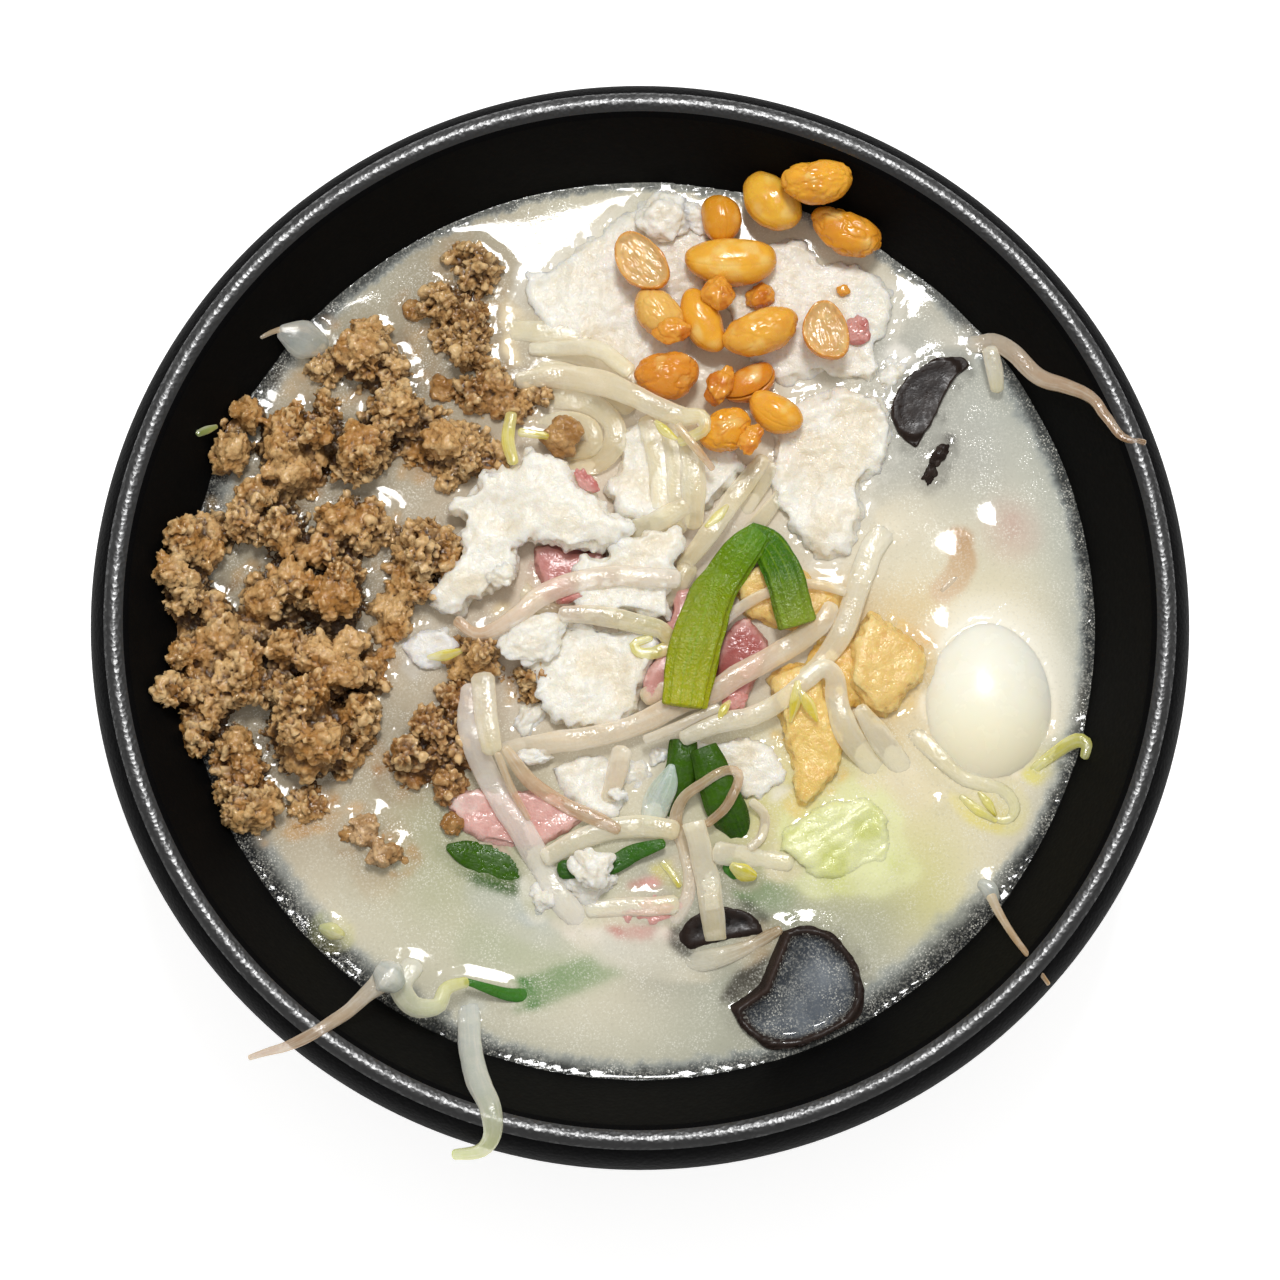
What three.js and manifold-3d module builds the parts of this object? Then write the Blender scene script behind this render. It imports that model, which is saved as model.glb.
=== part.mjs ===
// A round dark ramen-style bowl holding rice noodle soup: milky broth filled to a level 15 mm under
// the lip, and on it minced meat, white fish-paste slices, ham, fried tofu, a peeled quail egg,
// roasted soybeans, cabbage, wood ear, chive and mung bean sprouts, some of them over the lip.
// Millimetres, +Z up, the bowl's axis is the Z axis and its foot stands on Z = 0.
import * as THREE from 'three';
import { mergeVertices } from 'three/addons/utils/BufferGeometryUtils.js';
import Module from 'manifold-3d';

const wasm = await Module();
wasm.setup();

// ---- driving dimensions -------------------------------------------------------------------
const R_OUT = 98;          // widest radius, on the rolled lip
const R_CROWN = 93.3;      // radius of the lip's highest ring
const R_BEAD = 90.3;       // inner edge of the lip
const R_BROTH = 82;        // inner wall at the broth level
const HEIGHT = 75;         // foot to crown
const LEVEL = 60;          // broth level
const FOOT_R = 46;         // outer radius of the foot ring
const FOOT_IN = 42;        // inner radius of the foot ring
const GAP = 0.3;           // clearance between neighbouring pieces
const LAP = 48;            // segments round the bowl
const STEEP = 1.48;        // rise of the inner wall over its run, above the broth

const FINISH = {
  bowl: [0x1b1b1d, 0.5],
  broth: [0xcfc9b0, 0.2],
  noodle: [0xe6dcc2, 0.35],
  egg: [0xf7eed2, 0.3],
  tofu: [0xe9b765, 0.5],
  cabbage: [0xdfe79c, 0.4],
  ear: [0x2e2626, 0.3],
  ham: [0xd9979a, 0.4],
  slice: [0xede9dc, 0.5],
  chive: [0x6f9a1e, 0.35],
  leaf: [0x2f6b2a, 0.35],
  leek: [0xdfeadf, 0.35],
  meat: [0x9a6b3c, 0.35],
  bean: [0xdd9a34, 0.4],
  sprout: [0xe8dcc0, 0.3],
};

// Inner wall from the floor to the lip, as radius and height.
const INNER = [
  [36, 9.5],
  [53, 17],
  [66.5, 30.5],
  [76, 46.5],
  [R_BROTH, LEVEL],
  [R_BEAD, 72.3],
];

// ---- solids -------------------------------------------------------------------------------
function solidOf(geometry) {
  const bare = geometry.clone();
  bare.deleteAttribute('normal');
  bare.deleteAttribute('uv');
  const welded = mergeVertices(bare, 1e-4);
  return new wasm.Manifold(new wasm.Mesh({
    numProp: 3,
    vertProperties: new Float32Array(welded.attributes.position.array),
    triVerts: new Uint32Array(welded.index.array),
  }));
}

function geometryOf(solid) {
  const mesh = solid.getMesh();
  const geometry = new THREE.BufferGeometry();
  geometry.setAttribute('position', new THREE.BufferAttribute(new Float32Array(mesh.vertProperties), 3));
  geometry.setIndex(new THREE.BufferAttribute(new Uint32Array(mesh.triVerts), 1));
  geometry.computeVertexNormals();
  return geometry;
}

function closed(points, faces) {
  const geometry = new THREE.BufferGeometry();
  geometry.setAttribute('position', new THREE.Float32BufferAttribute(points.flat(), 3));
  geometry.setIndex(faces.flat());
  return solidOf(geometry);
}

function largest(solid) {
  const bodies = solid.decompose();
  return bodies.reduce((best, body) => (body.volume() > best.volume() ? body : best));
}

function joined(solids) {
  return solids.reduce((sum, solid) => sum.add(solid));
}

// Body of revolution about Z from a profile that starts and ends on the axis.
function turned(profile) {
  const points = profile.map(([r, z]) => new THREE.Vector2(r, z));
  const geometry = new THREE.LatheGeometry(points, LAP);
  geometry.rotateX(Math.PI / 2);
  return solidOf(geometry);
}

// Smooth value between -1 and 1 that varies over a few millimetres.
function ripple(x, y, z, seed) {
  const a = Math.sin(0.61 * x + 1.7 * seed) * Math.cos(0.53 * y - 0.9 * seed);
  const b = Math.sin(0.47 * z + 0.38 * x + 2.3 * seed) * Math.cos(0.71 * y + 1.1 * seed);
  return 0.5 * (a + b);
}

// Rounded lump: a ball drawn out to its three half sizes, turned and roughened.
function lump({ at, half, turn = 0, tip = 0, rough = 0, seed = 1, detail = 1 }, grow = 0) {
  const ball = new THREE.IcosahedronGeometry(1, detail);
  const spot = ball.attributes.position;
  const v = new THREE.Vector3();
  for (let i = 0; i < spot.count; i += 1) {
    v.fromBufferAttribute(spot, i);
    const swell = 1 + rough * ripple(9 * v.x, 9 * v.y, 9 * v.z, seed);
    v.multiply(new THREE.Vector3(...half.map((h) => h * swell + grow)));
    spot.setXYZ(i, v.x, v.y, v.z);
  }
  ball.rotateY(THREE.MathUtils.degToRad(tip));
  ball.rotateZ(THREE.MathUtils.degToRad(turn));
  ball.translate(...at);
  return solidOf(ball);
}

// Outline moved inwards by `inset` (outwards when negative), along the mean edge normals.
function moved(outline, inset) {
  const count = outline.length;
  return outline.map(([x, y], i) => {
    const [ax, ay] = outline[(i + count - 1) % count];
    const [bx, by] = outline[(i + 1) % count];
    const one = new THREE.Vector2(x - ax, y - ay).normalize();
    const two = new THREE.Vector2(bx - x, by - y).normalize();
    const sum = one.add(two).normalize();
    return [x - sum.y * inset, y + sum.x * inset];
  });
}

// Flat piece of food: its plan outline, a rounded edge, a lean and a slow wave through it.
function slab({ outline, low, high, edge = 1, lean = [0, 0], wave = 0, seed = 1 }, grow = 0) {
  const round = THREE.ShapeUtils.area(outline.map(([x, y]) => new THREE.Vector2(x, y))) > 0
    ? outline
    : [...outline].reverse();
  const count = round.length;
  const cx = round.reduce((sum, [x]) => sum + x, 0) / count;
  const cy = round.reduce((sum, [, y]) => sum + y, 0) / count;
  const levels = [
    [edge, low - grow],
    [0, low + 0.45 * (high - low)],
    [edge, high + grow],
  ];
  const points = [];
  levels.forEach(([inset, z]) => {
    moved(round, inset - grow).forEach(([x, y], i) => {
      const [ox, oy] = round[i];
      const sway = lean[0] * (ox - cx) + lean[1] * (oy - cy) + wave * ripple(0.6 * ox, 0.6 * oy, 0, seed);
      points.push([x, y, LEVEL + z + sway]);
    });
  });
  const cap = moved(round, edge).map(([x, y]) => new THREE.Vector2(x, y));
  const caps = THREE.ShapeUtils.triangulateShape(cap, []);
  const faces = [];
  caps.forEach(([a, b, c]) => {
    faces.push([c, b, a]);
    faces.push([2 * count + a, 2 * count + b, 2 * count + c]);
  });
  for (let band = 0; band < 2; band += 1) {
    for (let i = 0; i < count; i += 1) {
      const a = band * count + i;
      const b = band * count + ((i + 1) % count);
      faces.push([a, b, b + count]);
      faces.push([a, b + count, a + count]);
    }
  }
  return closed(points, faces);
}

// Round or flattened strand along laid points with a width at each; `flat` is thickness over width.
function strand({ laid, sides = 5, flat = 1 }, grow = 0) {
  const points = [];
  const faces = [];
  laid.forEach(({ at, width }, i) => {
    const ahead = laid[Math.min(i + 1, laid.length - 1)].at.clone();
    const along = ahead.sub(laid[Math.max(i - 1, 0)].at).normalize();
    const side = new THREE.Vector3(along.y, -along.x, 0).normalize();
    const up = new THREE.Vector3().crossVectors(side, along);
    const wide = width / 2 + grow;
    const thick = (width * flat) / 2 + grow;
    for (let k = 0; k < sides; k += 1) {
      const turn = (2 * Math.PI * k) / sides;
      const p = at.clone();
      p.addScaledVector(side, wide * Math.cos(turn));
      p.addScaledVector(up, thick * Math.sin(turn));
      points.push(p.toArray());
    }
  });
  const rings = laid.length;
  for (let i = 0; i < rings - 1; i += 1) {
    for (let k = 0; k < sides; k += 1) {
      const a = i * sides + k;
      const b = i * sides + ((k + 1) % sides);
      faces.push([a, b, b + sides]);
      faces.push([a, b + sides, a + sides]);
    }
  }
  [0, rings - 1].forEach((end) => {
    const tip = laid[end].at.clone();
    const inner = laid[end === 0 ? 1 : end - 1].at;
    tip.addScaledVector(tip.clone().sub(inner).normalize(), 0.3 * laid[end].width + grow);
    points.push(tip.toArray());
    const apex = points.length - 1;
    for (let k = 0; k < sides; k += 1) {
      const a = end * sides + k;
      const b = end * sides + ((k + 1) % sides);
      faces.push(end === 0 ? [a, apex, b] : [a, b, apex]);
    }
  });
  const solid = closed(points, faces);
  return solid.volume() > 0 ? solid : closed(points, faces.map(([a, b, c]) => [a, c, b]));
}

// How far the inner wall has climbed above the broth under a plan point.
function climb(x, y) {
  return Math.max(0, STEEP * (Math.hypot(x, y) - R_BROTH + 1));
}

// Heap of small things as one body. Each lump is [x, y, radius]; a square grid of heights follows
// their tops, its border is drawn out to their outline, and its foot is flat, just in the broth.
function heap({ lumps, pitch = 3, foot = 1.2 }, grow = 0) {
  const covered = (x, y) => lumps.some(([lx, ly, r]) => Math.hypot(x - lx, y - ly) < r);
  const crest = (x, y) => Math.max(...lumps.map(([lx, ly, r]) => {
    const dome = r * r - (x - lx) ** 2 - (y - ly) ** 2;
    return dome > 0 ? climb(lx, ly) + 0.35 * r + 0.85 * Math.sqrt(dome) : 0;
  }));
  const nodes = new Map();
  const places = [];
  const node = (i, j) => {
    const key = `${i},${j}`;
    if (!nodes.has(key)) {
      nodes.set(key, places.length);
      places.push([i * pitch, j * pitch]);
    }
    return nodes.get(key);
  };
  const span = Math.ceil(R_OUT / pitch);
  const sheet = [];
  for (let i = -span; i < span; i += 1) {
    for (let j = -span; j < span; j += 1) {
      const corners = [[i, j], [i + 1, j], [i + 1, j + 1], [i, j + 1]];
      const kept = corners.filter(([a, b]) => covered(a * pitch, b * pitch)).map(([a, b]) => node(a, b));
      if (kept.length > 2) sheet.push([kept[0], kept[1], kept[2]]);
      if (kept.length > 3) sheet.push([kept[0], kept[2], kept[3]]);
    }
  }
  const edges = new Set(sheet.flatMap(([a, b, c]) => [`${a},${b}`, `${b},${c}`, `${c},${a}`]));
  const next = new Map();
  edges.forEach((edge) => {
    const [a, b] = edge.split(',').map(Number);
    if (!edges.has(`${b},${a}`)) next.set(a, b);
  });
  const tops = places.map(([x, y]) => [x, y, LEVEL + crest(x, y) + 0.7 * ripple(2 * x, 2 * y, 0, 1) + grow]);
  const todo = new Set(next.keys());
  while (todo.size > 0) {
    const loop = [];
    for (let at = [...todo][0]; todo.delete(at); at = next.get(at)) loop.push(at);
    const ring = loop.map((at) => places[at]);
    moved(ring, -1).forEach(([ox, oy], k) => {
      const [x, y] = ring[k];
      let reach = 0;
      while (reach < pitch && covered(x + reach * (ox - x), y + reach * (oy - y))) reach += 0.25;
      reach += grow;
      const px = x + reach * (ox - x);
      const py = y + reach * (oy - y);
      tops[loop[k]] = [px, py, LEVEL + 1.2 + climb(px, py) + grow];
    });
  }
  const base = places.length;
  const feet = tops.map(([x, y]) => [x, y, LEVEL - foot - grow]);
  const faces = sheet.flatMap(([a, b, c]) => [[a, b, c], [base + c, base + b, base + a]]);
  next.forEach((b, a) => {
    faces.push([a, base + a, base + b]);
    faces.push([a, base + b, b]);
  });
  return closed([...tops, ...feet], faces);
}

// ---- the pile -----------------------------------------------------------------------------
// Pieces are laid from the bottom up; each is cut back later to clear whatever rests on it.
const pile = [];
const bed = [];
const down = new THREE.Raycaster();

function place(name, finish, make) {
  const mesh = new THREE.Mesh(geometryOf(make(0)), new THREE.MeshBasicMaterial({ side: THREE.DoubleSide }));
  mesh.updateMatrixWorld();
  bed.push(mesh);
  pile.push({ name, finish, make });
}

// Height of the highest surface already laid under a plan point, the broth where there is none.
function top(x, y) {
  down.set(new THREE.Vector3(x, y, 2 * HEIGHT), new THREE.Vector3(0, 0, -1));
  const hits = down.intersectObjects(bed, false);
  return Math.max(LEVEL, ...hits.map((hit) => hit.point.z));
}

// Lays a strand over the pile. Each knot is [x, y, width, sink]; sink lowers it from its rest.
function laidOver(knots, { step = 5.5, slope = 0.55, flat = 1 } = {}) {
  const curve = new THREE.CatmullRomCurve3(knots.map(([x, y]) => new THREE.Vector3(x, y, 0)), false, 'centripetal');
  const thick = new THREE.CatmullRomCurve3(knots.map(([, , w, sink = 0]) => new THREE.Vector3(w, sink, 0)));
  const count = Math.max(3, Math.round(curve.getLength() / step));
  const fine = [];
  for (let i = 0; i <= 4 * count; i += 1) {
    const t = i / (4 * count);
    const at = curve.getPoint(t);
    const size = thick.getPoint(t);
    const side = curve.getTangent(t);
    const reach = 0.4 * size.x;
    const heights = [-1, 0, 1].map((s) => top(at.x - s * reach * side.y, at.y + s * reach * side.x));
    at.z = Math.max(...heights) + (size.x * flat) / 2 + GAP - size.y;
    fine.push({ at, width: size.x, sink: size.y });
  }
  const draped = fine.map((here) => {
    let z = here.at.z;
    fine.forEach((there) => {
      const run = Math.hypot(there.at.x - here.at.x, there.at.y - here.at.y);
      z = Math.max(z, there.at.z - slope * run);
    });
    return { at: new THREE.Vector3(here.at.x, here.at.y, z), width: here.width };
  });
  return draped.filter((_, i) => i % 4 === 0);
}

function placeStrand(name, finish, knots, shape = {}) {
  const laid = laidOver(knots, shape);
  place(name, finish, (grow) => strand({ laid, sides: shape.sides, flat: shape.flat }, grow));
}

function placeSlab(name, finish, spec) {
  place(name, finish, (grow) => slab(spec, grow));
}

// ---- bowl and its free inside --------------------------------------------------------------
const SECTION = [
  [0, 4],
  [FOOT_IN - 1, 4],
  [FOOT_IN, 0],
  [FOOT_R, 0],
  [FOOT_R + 2, 6.5],
  [70.5, 26],
  [79.5, 42],
  [85.5, 56],
  [88.6, 64.2],
  [R_OUT - 1.4, 63],
  [R_OUT, 66.2],
  [R_OUT - 0.8, 70.3],
  [R_OUT - 2.4, 73.3],
  [R_CROWN, HEIGHT],
  [R_BEAD + 0.9, 74.2],
  ...[...INNER].reverse(),
  [0, 8],
];
const bowl = turned(SECTION);
const clearance = turned(moved(SECTION, -GAP).map(([r, z], i) => (
  i === 0 || i === SECTION.length - 1 ? [0, z] : [r, z]
)));
bed.push(new THREE.Mesh(geometryOf(bowl), new THREE.MeshBasicMaterial({ side: THREE.DoubleSide })));

// ---- lowest layer: what stands in the broth --------------------------------------------------
placeSlab('noodle_bundle', 'noodle', {
  outline: [[-20, 38], [-10, 39], [0, 40], [14, 34], [22, 26], [20, 14], [8, 8], [-4, 10], [-8, 22], [-18, 31]],
  low: -10,
  high: 2.2,
  edge: 2,
  wave: 1.2,
  seed: 3,
});

placeSlab('ham_middle', 'ham', {
  outline: [[1, -15.5], [4, -15], [7, -8], [10, 0], [11, 6], [6, 6], [3, -3], [0, -10]],
  low: 2.4,
  high: 4.4,
  edge: 0.6,
});

placeSlab('ham_back', 'ham', {
  outline: [[-20, 14], [-15, 15], [-9, 21], [-6, 18], [-6, 9], [-12, 3.5], [-17, 5], [-19, 9]],
  low: -1.5,
  high: 2.6,
  edge: 0.7,
});

placeSlab('slice_upper_left', 'slice', {
  outline: [
    [-21, 66], [-16, 67], [-11, 71], [-6, 75], [0, 79], [7, 80], [12, 78], [14, 68],
    [11, 55], [7, 45], [1, 42.5], [-9, 49.5], [-16, 53], [-20, 57], [-22.5, 62],
  ],
  low: -3,
  high: 1.6,
  lean: [0.05, 0],
  wave: 0.8,
  seed: 2,
});

placeSlab('slice_right_upper', 'slice', {
  outline: [
    [21, 70], [25, 71.5], [30, 71.5], [34, 67.5], [41, 67], [47.5, 61], [46, 56], [44, 52],
    [44.5, 46], [40, 44], [33, 46], [25, 44], [17, 52], [16, 60],
  ],
  low: -2.5,
  high: 2.6,
  lean: [-0.02, 0.03],
  wave: 0.8,
  seed: 5,
});

placeSlab('slice_centre', 'slice', {
  outline: [
    [-4.5, 35], [-4, 28], [-6, 24], [-3.5, 19.5], [3, 17.5], [11, 18.5], [17, 25], [20, 29],
    [16, 33.5], [8, 38], [1, 38],
  ],
  low: -0.5,
  high: 3.6,
  lean: [0.02, -0.04],
  wave: 0.8,
  seed: 4,
});

placeSlab('slice_right_lower', 'slice', {
  outline: [
    [24.2, 34], [23.5, 27], [24.5, 22], [28, 15.5], [34, 11.5], [38.5, 13], [41, 20], [40.5, 25],
    [45, 30], [47, 36], [44.5, 42], [38, 43.5], [30, 42], [25, 39],
  ],
  low: -2,
  high: 2.8,
  wave: 1,
  seed: 7,
});

placeSlab('slice_front_centre', 'slice', {
  outline: [
    [-17, -26.5], [-10, -23.5], [-5, -24.5], [-2, -28], [-1.5, -32], [-4, -36.5], [-9, -36], [-13, -31.5],
  ],
  low: -2.5,
  high: 1.4,
  edge: 0.8,
  seed: 3,
});

placeSlab('slice_front_right', 'slice', {
  outline: [
    [6, -20.5], [13, -21.5], [20, -20.5], [25, -24], [26, -29], [23, -32.5], [17, -33], [12, -28], [7, -26],
  ],
  low: -2.5,
  high: 1.8,
  edge: 0.8,
  seed: 6,
});

placeSlab('ham_front', 'ham', {
  outline: [
    [-36, -32], [-33, -30.5], [-21, -30], [-15, -31.2], [-9.5, -36], [-12, -38], [-18, -41],
    [-22, -42], [-28, -40.5], [-33, -37.5],
  ],
  low: -1.4,
  high: 2.4,
  edge: 0.8,
  lean: [0, 0.06],
  wave: 0.6,
});

placeSlab('cabbage', 'cabbage', {
  outline: [
    [23.5, -37], [28, -34.8], [34, -31.8], [41, -30.2], [44.5, -34.5], [46, -40], [49, -44.5],
    [44, -48.5], [36, -48.5], [29, -46.5], [24, -42],
  ],
  low: -3.5,
  high: 1.6,
  edge: 1.2,
  wave: 1.2,
  seed: 2,
});

placeSlab('wood_ear_back', 'ear', {
  outline: [[6, -57], [9, -53], [15, -51.3], [20, -52.5], [22.8, -55], [22, -59], [14, -60.5], [8, -60]],
  low: -3.2,
  high: 0.8,
  edge: 0.8,
  lean: [0, 0.05],
});

placeSlab('wood_ear_front', 'ear', {
  outline: [
    [15.3, -69], [17.5, -65.5], [21, -60], [25, -55.8], [30, -54.5], [35, -56.2], [39, -61],
    [40.6, -66], [40, -72], [36, -77], [29.5, -79.2], [22.5, -77.6], [17.5, -73.5],
  ],
  low: -2.2,
  high: 1.2,
  edge: 0.9,
});

placeSlab('wood_ear_side', 'ear', {
  outline: [
    [46, 42], [49, 46.3], [55, 50], [60, 50], [61.5, 47.8], [58, 45], [55.5, 41], [53.5, 36],
    [50.5, 31.5], [47.5, 34], [45.6, 38],
  ],
  low: -2.5,
  high: 1.4,
  edge: 0.9,
  lean: [-0.03, 0],
});

placeSlab('tofu_back', 'tofu', {
  outline: [[16.5, 8.5], [23, 12], [30, 10], [38, 5], [36, 0], [26, -2], [19, 0]],
  low: -6,
  high: 3.6,
  edge: 1,
  wave: 0.6,
  seed: 2,
});

placeSlab('tofu_front', 'tofu', {
  outline: [
    [22.5, -10], [28, -7], [34, -8.5], [34.3, -14], [38, -22], [37, -26.5], [33, -32.5],
    [30, -34.5], [27.6, -33], [27, -27], [25, -20],
  ],
  low: -7,
  high: 3.6,
  edge: 1.2,
  lean: [-0.05, 0.06],
  wave: 0.8,
  seed: 5,
});

placeSlab('tofu_side', 'tofu', {
  outline: [
    [41, 3], [46, -0.2], [51, -3.2], [53.2, -7], [51, -11.5], [47, -16.5], [44.5, -18.7],
    [41, -17], [36.5, -12], [37.5, -6], [39.3, -1],
  ],
  low: -7,
  high: 5,
  edge: 1.6,
  lean: [-0.12, 0.05],
  wave: 0.6,
  seed: 4,
});

place('quail_egg', 'egg', (grow) => lump({
  at: [63, -14, LEVEL - 5.6],
  half: [12.6, 15.8, 11.6],
  detail: 2,
}, grow));

placeSlab('ham_side', 'ham', {
  outline: [[13.8, -5], [16, -1.5], [19, 1.2], [22.2, -2.2], [24, -5], [22, -9], [19, -15], [15, -15], [13, -10]],
  low: 0.4,
  high: 3.4,
  edge: 0.7,
  lean: [0.02, 0.03],
});

// ---- white slices of the upper layer ---------------------------------------------------------
placeSlab('slice_middle', 'slice', {
  outline: [
    [-12.5, 8], [-10, 12], [-6.5, 11.3], [-4, 15], [0, 15.2], [2, 17], [7, 17], [8.2, 15],
    [6, 10.5], [6, 4], [5.5, -0.5], [-3, 1], [-11, 0.5],
  ],
  low: 2.8,
  high: 6.2,
  edge: 0.9,
  lean: [0.02, 0.02],
  wave: 0.8,
  seed: 8,
});

placeSlab('slice_lower', 'slice', {
  outline: [
    [-22, -8], [-24.5, -3], [-21, 0.2], [-16, -1], [-13, 0], [-4, -1.2], [3.8, -2], [3.5, -7],
    [1, -11.5], [0.2, -16.5], [-3, -19.5], [-9, -20.5], [-16, -18], [-19, -13.5],
  ],
  low: -1.5,
  high: 4.8,
  edge: 1.1,
  lean: [0.03, 0.03],
  wave: 1,
  seed: 9,
});

placeSlab('slice_fold', 'slice', {
  outline: [
    [-39, 2.6], [-37, 7], [-33, 12], [-32.3, 18], [-35.5, 21], [-30, 24], [-29, 28], [-23, 28],
    [-20, 32.3], [-14, 29], [-11, 25.5], [-4, 19], [-0.5, 16.4], [-6.5, 12.6], [-13, 11.6],
    [-19, 14.8], [-22, 13], [-22, 8], [-28, 4], [-34, 0.6],
  ],
  low: 0.8,
  high: 7,
  edge: 1.3,
  lean: [0.05, 0.02],
  wave: 1.2,
  seed: 11,
});

placeSlab('slice_small', 'slice', {
  outline: [[-43, -4.8], [-41, -1.2], [-36, -0.7], [-33, -2.4], [-32, -6], [-35, -8.4], [-39, -9.7], [-42, -8]],
  low: -1.4,
  high: 2,
  edge: 0.7,
  seed: 12,
});

// ---- minced meat ------------------------------------------------------------------------------
// Each lump is [x, y, radius]; lumps of one clump run into each other.
function placeMince(name, lumps, pitch) {
  place(name, 'meat', (grow) => heap({ lumps, pitch }, grow));
}

placeMince('mince_heap', [
  [-61.5, 46.5, 4.5], [-54, 48, 5.5], [-46.5, 48, 6], [-45, 38, 7], [-37.5, 31.5, 6.5], [-30.5, 31, 4.2],
  [-61, 33, 8.2], [-73, 34.2, 5], [-52, 30, 6.5], [-67, 22, 7], [-74.5, 17, 5.5], [-81, 11.5, 4.5],
  [-62, 14, 6.5], [-53, 17, 7], [-39.5, 12.5, 7.8], [-82, 4.6, 5.6], [-65, 5, 7], [-54.5, 5, 7],
  [-44.5, 2.5, 5], [-79, -5, 6], [-71, -2, 6.5], [-82, -12.5, 4.6], [-73, -11, 6], [-63, -6, 7],
  [-77.5, -19, 5.5], [-53, -6.5, 7], [-60, -20.5, 9.4], [-72.5, -26.5, 5.4], [-70.5, -33, 4.6], [-49.5, -17.5, 5],
  [-64, -31.5, 4.2],
], 3.5);
placeMince('mince_upper', [[-31.5, 65, 4.6], [-33, 58.5, 5.2], [-31.8, 51.5, 4.2]], 2.6);
placeMince('mince_right', [[-28, 42.5, 4.4], [-20.5, 41.5, 4.6]], 2.5);
placeMince('mince_lower', [[-41.5, -27, 5.4], [-36.5, -22, 6.4], [-33.5, -15.5, 4.4], [-33.5, -28, 3.6]], 2.6);
placeMince('mince_middle', [[-29.5, -7, 4.4], [-24, -10, 4.2], [-19.5, -12, 4.2]], 2.5);
placeMince('mince_floating', [[-48.5, -39.5, 4.2], [-45.5, -41.5, 4.2], [-47, -45.5, 3]], 2.4);

// ---- roasted soybeans ---------------------------------------------------------------------------
// Each bean is [name, x, y, length, width, turn, height over what it lies on].
const BEANS = [
  ['bean_a', 15, 74.5, 9.5, 7.4, 100, 0],
  ['bean_b', 24, 77, 12.4, 9, -45, 0.6],
  ['bean_c', 32.2, 79, 13.2, 8.4, 5, 1.2],
  ['bean_d', 37.5, 71.5, 14, 8, -25, 0],
  ['bean_e', 16.4, 66, 17, 9, 0, 1],
  ['bean_f', 0, 65.6, 12.4, 8.4, -50, 0],
  ['bean_g', 3.5, 56.6, 11, 8, -45, 0],
  ['bean_h', 11.2, 55, 13, 7, -65, 0],
  ['bean_i', 22, 52.6, 14.5, 8.5, 20, 1],
  ['bean_j', 33.6, 52.5, 11.5, 8.5, -75, 0],
  ['bean_k', 5, 44.6, 12, 9, 5, 0],
  ['bean_l', 20, 43.8, 10.5, 6.4, 30, 1],
  ['bean_m', 24.5, 38, 10.5, 7, -30, 0],
  ['bean_n', 15.8, 34, 10, 8, 25, 0],
];
BEANS.forEach(([name, x, y, length, width, turn, lift], i) => {
  const around = [0, 60, 120, 180, 240, 300].map((a) => THREE.MathUtils.degToRad(a));
  const rest = Math.max(top(x, y), ...around.map((a) => top(x + 3 * Math.cos(a), y + 3 * Math.sin(a))));
  const tall = 0.4 * width;
  place(name, 'bean', (grow) => lump({
    at: [x, y, rest + tall + GAP + 0.4 * lift],
    half: [length / 2, width / 2, tall],
    turn,
    tip: 4 * Math.sin(3 * i),
    rough: 0.06,
    seed: i,
  }, grow));
});

// ---- greens lying low ------------------------------------------------------------------------------
placeStrand('leaf_left', 'leaf', [
  [-33, -41.5, 5, 1.4], [-27, -43, 5.5, 1.2], [-22, -45, 6, 1.2], [-16, -46.5, 3, 1.6],
], { flat: 0.3 });
placeStrand('leek_stub', 'leek', [[5, -27.5, 4.4, 0], [4, -32, 5.4, 0.4], [3.2, -36.5, 5, 1]], { flat: 0.7 });
placeStrand('chive_stub_left', 'leaf', [[8, -22, 5, 0], [7.6, -27, 6, 0], [6.2, -32, 5.6, 0.4], [5.6, -36, 3, 1]], {
  flat: 0.5,
});
placeStrand('chive_stub_right', 'leaf', [[11.5, -23.5, 5, 0], [13.6, -29, 6.6, 0], [16, -34.5, 7, 0.6], [18.5, -39.5, 4, 1.6]], {
  flat: 0.5,
});

// ---- bean sprouts -----------------------------------------------------------------------------------
placeStrand('sprout_back', 'sprout', [
  [-22, 45, 3, 0.6], [-15, 45.5, 4.6, 0], [-8, 44, 5, 0], [-2, 41, 4.6, 0], [3, 38.5, 4, 0], [8, 36.5, 3.4, 0],
  [11.2, 36.2, 2.8, 0], [11.8, 34, 2.4, 0], [7.5, 32, 2, 0],
]);
placeStrand('sprout_side', 'sprout', [
  [49.5, 20, 4.2, 2.2], [46.5, 18.5, 4.8, 0.8], [43, 14, 4.6, 0], [40.5, 8.5, 4.4, 0], [38.5, 2.5, 4.4, 0],
  [36, -3.5, 4.2, 0], [33, -7.5, 3.6, 0], [30, -10.5, 3, 0],
]);
placeStrand('sprout_bow', 'sprout', [
  [-33, -0.5, 2, 0], [-29, -3, 2.2, 0], [-22, 0.5, 3.2, 0], [-18, 4, 4, 0], [-12, 6.5, 4, 0], [-5, 7.5, 4, 0],
  [6.5, 7, 3.6, 0],
]);
placeStrand('sprout_long', 'sprout', [
  [-25, -23, 3, 0.6], [-18, -22.5, 4, 0], [-10, -21.5, 4, 0], [-3, -20, 4, 0], [3, -17.5, 4, 0], [8, -15, 4, 0],
  [12, -14, 4, 0], [18, -10, 4.2, 0], [24, -6.5, 4.2, 0], [30, -3, 4, 0], [33, -0.5, 3.6, 0], [34.5, 2.5, 3, 0],
]);
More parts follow.
